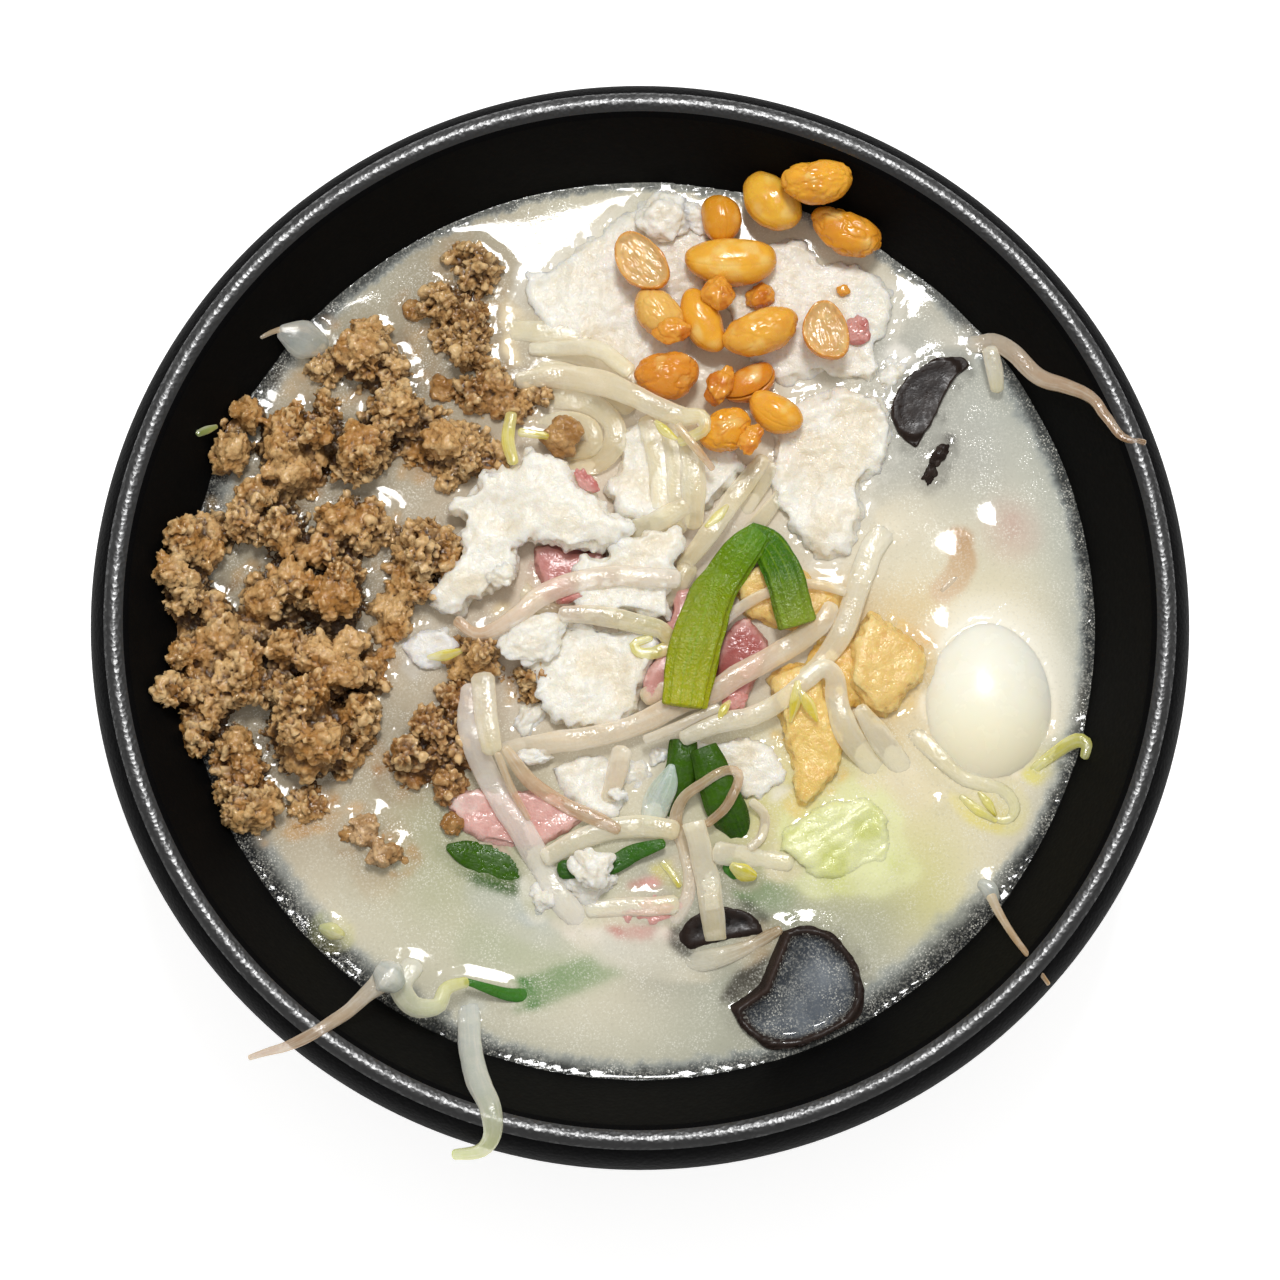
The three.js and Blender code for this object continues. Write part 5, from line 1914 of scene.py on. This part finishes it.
def beans() -> list[Bean]:
    """The roasted soybeans."""
    whole, half, split = BeanKind.WHOLE, BeanKind.HALF, BeanKind.SPLIT
    glazed, wrinkled = BeanKind.GLAZED, BeanKind.WRINKLED
    rows = [
        ("a", 9.5, 7.4, 100, whole, 0.4, "#E09A22"), ("b", 12.4, 9, -45, whole, 0.9, "#F2BC3E"),
        ("c", 13.2, 8.4, 5, wrinkled, 0.2, "#F2B136"), ("d", 14, 8, -25, wrinkled, 0.3, "#EAA22C"),
        ("e", 17, 9, 0, whole, 0.5, "#F4B83E"), ("f", 12.4, 8.4, -50, half, 0.0, "#DE9A3A"),
        ("g", 11, 8, -45, glazed, 0.5, "#ECBC62"), ("h", 13, 7, -65, whole, 1.0, "#F0AF34"),
        ("i", 14.5, 8.5, 20, glazed, 0.6, "#EFB242"), ("j", 11.5, 8.5, -75, half, 0.0, "#DE9A3A"),
        ("k", 12, 9, 5, wrinkled, 0.3, "#E2922C"), ("l", 10.5, 6.4, 30, split, 0.9, "#E08E22"),
        ("m", 10.5, 7, -30, whole, 0.7, "#F3B036"), ("n", 10, 8, 25, wrinkled, 0.5, "#EEA62C"),
    ]
    return [
        Bean("bean_" + letter, length, width, turn, kind, roll, base, 11 + 3 * i)
        for i, (letter, length, width, turn, kind, roll, base) in enumerate(rows)
    ]


def noodles() -> StrandPiece:
    """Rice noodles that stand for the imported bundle: each wanders in an arc inside its outline."""
    number, knots_each, step, width, sink = 20, 6, 6.5, 2.8, 1.6
    rng = np.random.default_rng(5)
    low, high = (corner[:2] for corner in extent("noodle_bundle"))
    strands = []
    for _ in range(number):
        spot = rng.uniform(low, high)
        way = rng.uniform(0, 2 * math.pi)
        bend = rng.uniform(-0.5, 0.5)
        knots = []
        for _ in range(knots_each):
            knots.append((*spot, width, sink + 0.6 * rng.random()))
            ahead = np.array([math.cos(way), math.sin(way)])
            spot = np.clip(spot + step * ahead, low, high)
            way += bend
        strands.append(Strand(knots, NOODLE, slope=0.4))
    return StrandPiece("noodles", "noodle", strands, ("noodle_bundle",))


def noodles_upper() -> StrandPiece:
    """Rice noodles that lie round and on the slices."""
    rows = [
        [
            (-34, 44, 2.4, 1.4), (-30, 49, 3, 0.9), (-22, 51.5, 3.4, 0.7), (-12, 50.5, 3.4, 0.5),
            (-5, 47, 3.2, 0.2), (2, 42, 3),
        ],
        [(-31, 50, 2.4, 1.2), (-27, 54, 3, 0.8), (-18, 54, 3, 0.6), (-10, 52.5, 2.6, 0.6)],
        [
            (-26, 59, 2.4, 1.2), (-25.5, 54, 3, 0.8), (-25, 48, 3, 0.9), (-27, 42, 2.8, 1),
            (-31, 36, 2.4, 1.2),
        ],
        [
            (-30, 41, 2.4, 1), (-24, 45, 3.2, 0.7), (-16, 46.5, 3.4, 0.5), (-9, 44.5, 3.2, 0.4),
            (-2, 40, 3, 0.2),
        ],
        [
            (-29, 36, 2.4, 1), (-23, 40.5, 3, 0.6), (-16, 42, 3.2, 0.4), (-9, 40.5, 3.2, 0.3),
            (-4.5, 36.5, 3), (-4.5, 32.5, 3), (-8, 29.5, 3), (-13, 28.5, 2.6),
        ],
        [
            (-28, 32, 2.2, 0.8), (-21, 36, 2.8, 0.5), (-14, 37.5, 3, 0.3), (-9, 35.5, 2.6, 0.2),
            (-8.5, 32.5, 2.4), (-13, 31.5, 2.2),
        ],
        [(-33, 35, 2.2, 1.2), (-27, 31, 2.6, 0.7), (-20, 31.5, 2.4, 0.6)],
        [(1.5, 37, 3), (4, 28, 3.4), (4, 17, 3, 0.5)],
        [(5.5, 37, 3), (7.2, 27, 3.2), (6.8, 17, 3, 0.4)],
        [(9, 35, 2.8), (10, 26, 3.2), (9.6, 17.5, 2.8, 0.4)],
        [(24.5, 28.5, 2), (20.5, 23, 2.4), (15, 15.5, 2.4), (10, 9, 2, 0.3)],
        [(22.5, 30, 2), (17.5, 23.5, 2.6), (12.5, 16, 2.4), (7.5, 10, 2, 0.3)],
        [(26, 24, 1.8, 0.4), (21.5, 18, 2.2), (16, 11, 2, 0.2)],
        [(-9, 15, 2.4, 0.6), (0, 17, 3, 0.3), (8, 21, 2.6, 0.2)],
        [(-3, -1, 2.4, 0.6), (4, 4, 2.8, 0.4), (9, 10, 2.4, 0.3)],
        [(1, -14, 2.4, 0.5), (8, -10, 2.8, 0.5), (14, -4, 2.4, 0.4)],
        [(-23, 8, 2, 1), (-19, 4, 2.8, 0.8), (-14, 1, 2.4, 0.9)],
        [(-24, 3, 2, 1), (-20, 0, 2.6, 0.7), (-15, -2.5, 2.2, 0.7)],
    ]
    strands = []
    for row in rows:
        knots = [(k.x, k.y, 1.4 * k.width, k.sink + 0.35) for k in (Knot(*r) for r in row)]
        strands.append(Strand(knots, NOODLE, slope=0.3, flat=0.3, edge_shade_share=0.1))
    return StrandPiece("noodles_upper", "noodle", strands)


def crumbs_low() -> list[Crumbs]:
    """Torn bits that lie under the stalks."""
    return [
        Crumbs("flakes", "slice", [
            (-19, -4, 12, 8, 3, 20, 0.4), (-20, -17.5, 7, 5, 2.4, 40, 0.4),
            (-9, -46.5, 8, 9, 4, 70, 0.6), (-17, -50, 5, 6, 3, 20, 1), (4.5, 75, 8, 9, 4, 80, 0.4),
            (9.5, 75, 5, 7, 3, 60, 0.6), (-2, -28, 10, 7, 2.6, 20, 1), (-25, 8, 5, 4, 2.2, 10, 0.8),
            (46, 46, 7, 5, 2, 60, 0.8),
        ], "#F3EFE4", "#E8DFCC", 0.5, 3),
        Crumbs("meat_bits", "meat", [
            (-41.5, 58, 4.6, 4.2, 4, 0, 0.8), (-36, 43.5, 5, 5, 4, 0, 0.8),
            (-14, 34, 7, 6.4, 6, 30, 0), (-34, -37, 4, 4, 3, 0, 0.6), (-31, 40, 4, 3, 3, 10, 0.6),
            (-52.5, -39, 3.4, 3, 3, 20, 0.5), (-43, -43, 3, 2.6, 2.4, 20, 0.8),
            (-34, -30, 3, 2.6, 2.4, 20, 0.4),
        ], "#A5753C", "#C99C62", 0.5, 9),
        Crumbs("tofu_bits", "tofu", [
            (36.5, -9, 12, 14, 3.4, 20, 0.3), (27, 4, 8, 6, 3, 30, 0.4),
        ], "#F2CC78", "#E6B658", 0.3, 41),
        Crumbs("rosy_bits", "ham", [
            (67.5, 17, 7, 8, 3, 0, 3.8), (17, -14.5, 4.5, 3.4, 2, 20, 0.2),
            (-12.5, 3.8, 5.5, 1.4, 2, 10, 0), (-9.5, 25, 6, 2.6, 2, -50, 0),
            (40, 54, 4.4, 5, 2.4, 10, 0.4), (3, -52, 16, 8, 2.4, 10, 1.4),
        ], "#DDA39A", "#C4756E", 0.4, 15),
        Crumbs("ear_bits", "ear", [
            (54.6, 31, 4.4, 2.4, 2, 60, 0.5), (53, 27.5, 3.6, 2, 2, 70, 0.6),
        ], "#2A211D", "#3A302B", 0.6, 51, 0.8),
    ]


def crumbs_high() -> list[Crumbs]:
    """Torn bits that lie on the stalks."""
    return [
        Crumbs("flakes_upper", "slice", [
            (-19.2, -24.9, 6.3, 2.8, 2.6, 5, 0.2), (-8.7, -45, 6.5, 7.5, 4, 80, 0.3),
            (3.2, -24.5, 3.4, 3, 2, 40, 0.2), (-4, -31.5, 3, 2.4, 2, 0, 0.3),
        ], "#F6F3EA", "#EAE3D4", 0.6, 21),
        Crumbs("bean_bits", "bean", [
            (6, 53, 6.5, 4.5, 3, 10, 0.8), (14.5, 43, 4.6, 7.5, 3, -20, 0.2),
            (20, 32, 3.6, 6, 2.4, -30, 0), (37.5, 61.5, 2.6, 2, 1.4, 0, 0),
            (22, 60, 6, 4.5, 4, 20, 0.6), (14.5, 59.5, 5.5, 6, 5, 0, 0),
        ], "#E8A23C", "#D07A24", 0.35, 27),
    ]


def standing(node: str, slot: str, *strands: Strand) -> StrandPiece:
    """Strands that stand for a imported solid."""
    return StrandPiece(node + "_dressed", slot, list(strands), (node,))


def strand(tints: list[tuple[float, str]], *knots: tuple[float, ...], **shape: object) -> Strand:
    """A strand of the given colours through the given knots."""
    return Strand(list(knots), tints, **shape)


def strands_packed() -> list[StrandPiece]:
    """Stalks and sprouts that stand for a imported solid, lowest first. The last lies over all."""
    dark = [(0, "#34580A"), (0.5, "#3A6010"), (1, "#22420A")]
    stub = {"flat": 0.5, "ribs": 7, "rib": 0.07, "see": 0.0, "cut": True}
    ribbed = {"flat": 0.3, "ribs": 9, "rib": 0.085, "sides": 44, "see": 0.0, "cut": True}
    return [
        standing("leaf_left", "leaf", strand(
            dark, (-34.5, -40.8, 1.6, 1.6), (-32, -41.6, 4.6, 1.3), (-27, -43.4, 6.6, 1.1),
            (-22, -45, 6.4, 1.2), (-16, -46.5, 3, 1.8), flat=0.2, see=0.0,
        )),
        standing("chive_stub_left", "leaf", strand(
            dark, (8, -22, 5, 0), (7.6, -27, 6, 0), (6.2, -32, 5.6, 0.4), (5.6, -36, 3, 1), **stub,
        )),
        standing("chive_stub_right", "leaf", strand(
            dark, (11.5, -23.5, 5, 0), (13.6, -29, 6.6, 0), (16, -34.5, 7, 0.6),
            (18.5, -39.5, 4, 1.6), **stub,
        )),
        standing("leek_stub", "leek", strand(
            [(0, "#BFD2C4"), (1, "#E2E8DA")], (5.6, -26.5, 1.4, 0), (4.8, -29.5, 4.4, 0.2),
            (3.2, -33, 5.4, 0.6), (1.8, -36.5, 4.6, 1.2), flat=0.4, ribs=5,
        )),
        standing("sprout_back", "sprout", strand(
            [(0, "#EDE0C2"), (0.7, "#F1E5C4"), (1, "#EBE288")], (-22, 45, 3, 0.6), (-15, 45.5, 4.6),
            (-8, 44, 5), (-2, 41, 4.6), (3, 38.5, 4), (8, 36.5, 3.4), (11.2, 36.2, 2.8),
            (11.8, 34, 2.4), (7.5, 32, 2),
        )),
        standing("sprout_side", "sprout", strand(
            [(0, "#EFE6CE"), (1, "#F3E8CC")], (51.5, 20, 4.2, 3.4), (47.5, 19, 4.6, 2.4),
            (43.5, 15.5, 4.8, 0.8), (40.5, 8.5, 4.6), (38.5, 2.5, 4.4), (36, -3.5, 4.2),
            (33, -7.5, 3.6), (30, -10.5, 3), flat=0.38,
        )),
        standing("sprout_bow", "sprout", strand(
            [(0, "#C9A27C"), (0.3, "#EFD4BC"), (1, "#F6E6D4")], (-33, -0.5, 2), (-29, -3, 2.2),
            (-22, 0.5, 3.2), (-18, 4, 4), (-12, 6.5, 4), (-5, 7.5, 4), (6.5, 7, 3.6),
        )),
        standing("sprout_long", "sprout", strand(
            PEACH, (-25, -23, 3, 0.6), (-18, -22.5, 4), (-10, -21.5, 4), (-3, -20, 4),
            (3, -17.5, 4), (8, -15, 4), (12, -14, 4), (18, -10, 4.2), (24, -6.5, 4.2), (30, -3, 4),
            (33, -0.5, 3.6), (34.5, 2.5, 3),
        )),
        standing("sprout_hook", "sprout", strand(
            CREAM, (8, -21.5, 3), (14, -19, 3.6), (20, -17.5, 3.8), (26, -14.5, 3.6),
            (30, -11, 3.4), (33, -9, 3.4), (35, -10.5, 3.6), (35.5, -14.5, 4.2), (37, -19.5, 4.8),
            (41, -24.5, 5, 1), (45.5, -29.5, 4.8, 2.6), (48.5, -33.5, 4, 4),
        )),
        standing("sprout_loop", "sprout", strand(
            [(0, "#F2E9DE"), (0.55, "#F4EADC"), (0.72, "#E2C4A2"), (1, "#CBA078")],
            (-30, -12.5, 4.2), (-30.5, -18.5, 4.6), (-29, -24.5, 4.6), (-25.5, -31.5, 4.6),
            (-21, -38.5, 4.6), (-17, -45.5, 4.6, 1.6), (-13, -51.5, 4.6, 2), (-8, -56.5, 4.4, 2),
            (-3, -59, 4.2, 2), (1, -58.5, 4, 2), (5, -55, 3.6, 1.4), (8.5, -50.5, 3, 0.6),
            (9, -46.5, 2.6), (8, -41.5, 2.4), (6.2, -36, 2.4), (7.5, -32.5, 2.2), (11, -30, 2),
            (16, -27.5, 1.8), (17.8, -28, 1.8), (16, -33.5, 1.8), (12, -37, 1.6),
        )),
        standing("sprout_lip_right", "sprout", strand(
            [(0, "#D9D6C8"), (0.4, "#E2C9AC"), (0.8, "#C9A582"), (1, "#A07850")],
            (55, 53.5, 3, 1.8), (62, 52, 3.6, 1.4), (65, 51.8, 3.6, 0.6), (68.5, 49, 3.4),
            (72.5, 44.5, 3.2), (77, 42, 2.8), (81.5, 39, 2.4), (84, 35, 2), (86.5, 31.5, 1.6),
            (90.5, 30.5, 1.2), slope=0.9,
        )),
        standing("sprout_lip_left", "sprout", strand(
            [(0, "#E0DCCB"), (0.4, "#D9BFA0"), (1, "#B08A68")], (-43.5, -64, 6, 3),
            (-47, -67.3, 3.4, 0.6), (-53.5, -73.2, 2.4), (-60.5, -77, 2), (-68.5, -79.5, 1),
            slope=0.4,
        )),
        standing("sprout_lip_front", "sprout", strand(
            [(0, "#D2D8D4"), (0.5, "#DCE0D2"), (0.8, "#D8DCA8"), (1, "#C2CF6A")],
            (-30.5, -69.5, 4, 1.6), (-30, -76, 4.4), (-28.5, -82.5, 4.2), (-26, -88.5, 3.8),
            (-25.6, -92.5, 3.2), (-27.5, -95.2, 2.6), (-32.5, -96, 2), slope=0.9,
        )),
        standing(
            "chive_fold", "chive",
            strand(
                [(0, "#3F7A08"), (0.5, "#376606"), (1, "#8A9A30")], (19.5, 15.8, 4.6),
                (22.8, 14, 5.6), (25.4, 9.5, 6.4), (27, 4, 6.6), (28.4, -1, 6.8), **ribbed,
            ),
            strand(
                [(0, "#ACA90E"), (0.2, "#9DA108"), (0.5, "#869408"), (1, "#4F8408")], (8, -16, 7.6),
                (9.5, -7, 8.4), (11.5, 0.5, 7.8), (14.5, 7, 6.8), (18.5, 12.5, 6.4),
                (21.8, 16, 4.4), **ribbed,
            ),
        ),
    ]


def strands_loose() -> list[StrandPiece]:
    """Further sprouts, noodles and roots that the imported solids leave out."""
    return [
        StrandPiece("sprouts_front", "sprout", [
            strand(CREAM, (-28, -11, 4.5), (-27.5, -17, 4.5), (-26.5, -24, 4)),
            strand(
                CREAM, (-17, -43, 3.6), (-11, -40, 4), (-5, -38, 4), (0, -37.5, 4), (6, -38, 3.6),
            ),
            strand(CREAM, (-9, -52, 3, 1), (-3, -51.5, 3.5, 0.6), (6, -51.5, 3.5, 0.6)),
            strand(
                CREAM, (9.5, -37, 4.3), (11, -42, 4.3), (12.5, -48, 4.3), (13.5, -57.5, 4.3, 1),
                cut=True,
            ),
            strand(CREAM, (14, -42, 4, 0.6), (19, -42.5, 4, 0.6), (27, -43.5, 3.6, 1)),
            strand(PEACH, (-3, -24, 3.5), (-4, -28, 3.5), (-5.5, -32, 3)),
            strand(
                BROWN, (-24, -24, 2), (-20, -29, 2.7), (-14, -33, 2.7), (-8, -36, 2.7),
                (-4, -38, 2),
            ),
            strand(BROWN, (-25.5, -25, 1.4), (-23, -31, 1.4), (-20, -36, 1)),
            strand(YELLOW, (2, -42, 1.2), (5, -45, 1.4), (7, -48, 1.2)),
            strand(PEACH, (20, -33, 1.6), (22.5, -35, 1.8), (22, -39, 1.8), (20, -41, 1.6)),
        ]),
        StrandPiece("sprouts_middle", "sprout", [
            strand(
                [(0, "#E9D6C0"), (0.55, "#EADFA8"), (0.75, "#EFE05A"), (1, "#E8D62E")],
                (-14, 0.5, 3), (-8, 0.5, 3.5), (0, -1, 3.4), (4, -2, 3), (5.5, -4.5, 2.6),
                (3, -6, 2.2), (0, -6, 1.8), (-1, -4.5, 1.6), (2, -3.5, 1.4),
            ),
            strand(CREAM, (-20, 51, 2.6, 0.6), (-8, 50, 3.5), (-2, 45, 3)),
            strand(BROWN, (7, 35, 1.5), (10, 31, 1.5), (13, 27, 1.2)),
            strand(PEACH, (1, -22, 1.8), (7, -19.5, 1.8), (14, -16.5, 1.6)),
            strand(
                PEACH, (14, -1.5, 2), (17, 1.5, 2), (22, 4.5, 2), (28, 6.5, 2), (33, 6, 2),
                (37, 5, 1.8),
            ),
        ]),
        StrandPiece("sprouts_right", "sprout", [
            strand(
                [(0, "#E6D8B6"), (0.6, "#E8DFB4"), (1, "#E8E08A")], (48, -19, 4.5, 1),
                (53, -23, 4, 1), (58, -28, 3.4, 0.8), (62, -29.5, 3, 0.4), (66, -31, 2.6, 0.3),
                (67.5, -34, 2.4, 0.3), (66, -36, 2, 0.3), (62, -35, 1.7, 0.3),
            ),
            strand(
                CREAM, (39.6, -16.5, 3, 0.3), (43, -21, 4.6, 0.5), (47, -26, 4.4, 1.0),
                (51, -31, 3.4, 1.9), flat=0.35, see=0.5,
            ),
            strand(YELLOW, (58, -31.5, 1.2, 0.2), (61, -34, 2, 0.2), (64, -36, 1.2, 0.2), flat=0.5),
            strand(
                [(0, "#E8E07A"), (0.5, "#EDE35A"), (1, "#DCDC80")], (70.5, -27, 2, 0.6),
                (75, -24, 2.4), (79, -22, 2.6), (80.5, -23, 2.2), (80, -25, 1.6),
            ),
            strand(CREAM, (64, 50, 3, 1), (65, 46, 3, 1.4), (65.5, 43, 2.4, 2)),
            strand(BROWN, (55, 6, 1.2, 0.2), (58.5, 10, 1.6, 0.2), (58, 16, 1.2, 0.2)),
        ]),
        StrandPiece("sprouts_left", "sprout", [
            strand(
                [(0, "#E0E0D2"), (0.6, "#DDE0B0"), (1, "#DCDC6A")], (-40, -63, 4, 0.8),
                (-42, -67, 4, 0.6), (-40, -70, 3.6, 0.6), (-36, -70, 3, 0.4),
                (-34.5, -67, 2.6, 0.4), (-31, -65.5, 2, 0.4),
            ),
            strand(
                BROWN, (-69, 52, 0.9), (-66.5, 53.5, 1.2), (-63.5, 54.5, 1.3), (-60, 54.5, 1.4),
                (-57, 55, 1), slope=0.9,
            ),
            strand(YELLOW, (-23.5, 38, 2), (-24, 33, 2.4), (-23, 28.5, 2)),
            strand(YELLOW, (-22, 34.5, 1.6), (-17, 33.5, 1.4)),
        ]),
        StrandPiece("leaves_sunk", "leaf", [
            strand(
                [(0, "#8AA27A"), (1, "#94AC86")], (-30, -58.5, 6, 3), (-24, -59.5, 10, 3),
                (-15, -58, 10, 3), (-7, -59.5, 7, 3), (0, -62, 2, 2.8), flat=0.12, see=0.0,
            ),
            strand(
                [(0, "#3E7A2A"), (1, "#4A8A3A")], (-31, -65.5, 1.2, 1.4), (-22, -67.5, 2.4, 1.2),
                (-13, -64.5, 2.4, 1.2), (-3, -61, 1.4, 1.4), flat=0.3, see=0.0,
            ),
            strand(
                [(0, "#3E7A2A"), (1, "#5E9448")], (16, -44, 3, 1.8), (20.5, -46.5, 5, 2.2),
                (25.5, -50, 2.4, 2.6), flat=0.25, see=0.0,
            ),
            strand(
                [(0, "#2F5A1C"), (1, "#3A6A20")], (-14, -45, 3.4, 0.6), (-6, -44.5, 3.6, 0.3),
                (-1, -42, 3.4), (4, -40.5, 2), flat=0.3, see=0.0,
            ),
        ], clear=2.0),
        StrandPiece("sprout_leaves", "sprout", [
            strand(YELLOW, (3, 35.5, 0.8), (4.6, 33.8, 2), (6.6, 32.4, 0.8), flat=0.45, see=0.0),
            strand(
                YELLOW, (16, -15.3, 0.7), (15, -16.8, 1.8), (14.2, -18.4, 0.8), flat=0.45, see=0.0,
            ),
            strand(
                YELLOW, (28.4, -11.5, 1), (28.2, -14.5, 2.2), (27, -18.6, 0.7), flat=0.45, see=0.0,
            ),
            strand(
                YELLOW, (28.6, -13.5, 1), (30.2, -15.8, 2.4), (31.8, -18.8, 0.7), flat=0.45,
                see=0.0,
            ),
            strand(YELLOW, (15.8, 21, 0.7), (14.2, 19, 1.8), (12, 17, 0.7), flat=0.45, see=0.0),
            strand(
                YELLOW, (-38.2, -6.6, 0.7), (-35, -6.4, 2), (-32, -5.8, 0.8), flat=0.45, see=0.0,
            ),
            strand(
                YELLOW, (16.5, -44.5, 1.6), (18.5, -45.6, 3.2), (20.4, -46.2, 1.8), flat=0.7,
                see=0.0,
            ),
            strand(YELLOW, (61, -31, 0.7), (62.6, -33, 1.8), (64, -35.2, 0.7), flat=0.45, see=0.0),
            strand(
                [(0, "#D2D88A"), (1, "#E2DC70")], (-57.5, -55.5, 1.6, 0.6), (-55.5, -56, 3.4, 0.5),
                (-53.6, -56.8, 1.6, 0.6), flat=0.8, see=0.2,
            ),
            strand(
                MILKY, (-45.5, -64, 4, 0.4), (-44, -65, 6, 0.3), (-42.6, -66.2, 4, 0.4), flat=0.8,
            ),
            strand(
                [(0, "#9AA85A"), (1, "#B8BE6A")], (-80, 33.5, 1.4), (-78.4, 34.4, 1.6),
                (-76.8, 35.2, 0.8),
            ),
            strand(
                MILKY, (-65.5, 53.5, 3, 1.4), (-62, 52.5, 7, 1.6), (-58.5, 51.5, 4, 1.6), flat=0.4,
            ),
            strand(
                MILKY, (61, -47.5, 2, 0.2), (62.5, -48.5, 3.4, 0.2), (63.5, -50.5, 2.4), flat=0.7,
            ),
            strand(
                BROWN, (63, -50, 1.8), (64.2, -53.5, 1.5), (66, -58, 1.3), (69, -63, 1),
                (71.5, -66.5, 0.8), slope=0.9,
            ),
        ]),
        StrandPiece("sprouts_sunk", "sprout", [
            strand(MILKY, (-29, -48.5, 3, 2.4), (-24, -50, 4, 2.3), (-18, -52, 3.4, 2.4)),
            strand(MILKY, (-28, -51, 3, 3), (-18, -55, 4, 2.8), (-8, -58, 4, 3.4)),
            strand(
                [(0, "#D9D6C8"), (0.6, "#CFC9B4"), (1, "#B08E5E")], (-6, -58.5, 4, 1.9),
                (2, -60.5, 4, 1.6), (10, -61.5, 3.8, 1.4), (17, -59.8, 3.2, 0.9),
                (25, -56, 1.8, 0.1),
            ),
        ]),
    ]


def main() -> None:
    """Builds the studio, the bowl and then what lies in it, the lowest first and the broth last."""
    logging.basicConfig(level=logging.INFO, format="%(name)s: %(message)s")
    Studio().build()
    Bowl().build()
    *under, over = strands_packed()
    lots = [
        noodles(), *slabs_low(), QuailEgg(), noodles_upper(), *slabs_high(), *crumbs_low(),
        *minces(), *beans(), *under, *strands_loose(), over, *crumbs_high(), Broth(),
    ]
    bed = Bed()
    for lot in lots:
        lot.build(bed)


if __name__ == "__main__":
    main()
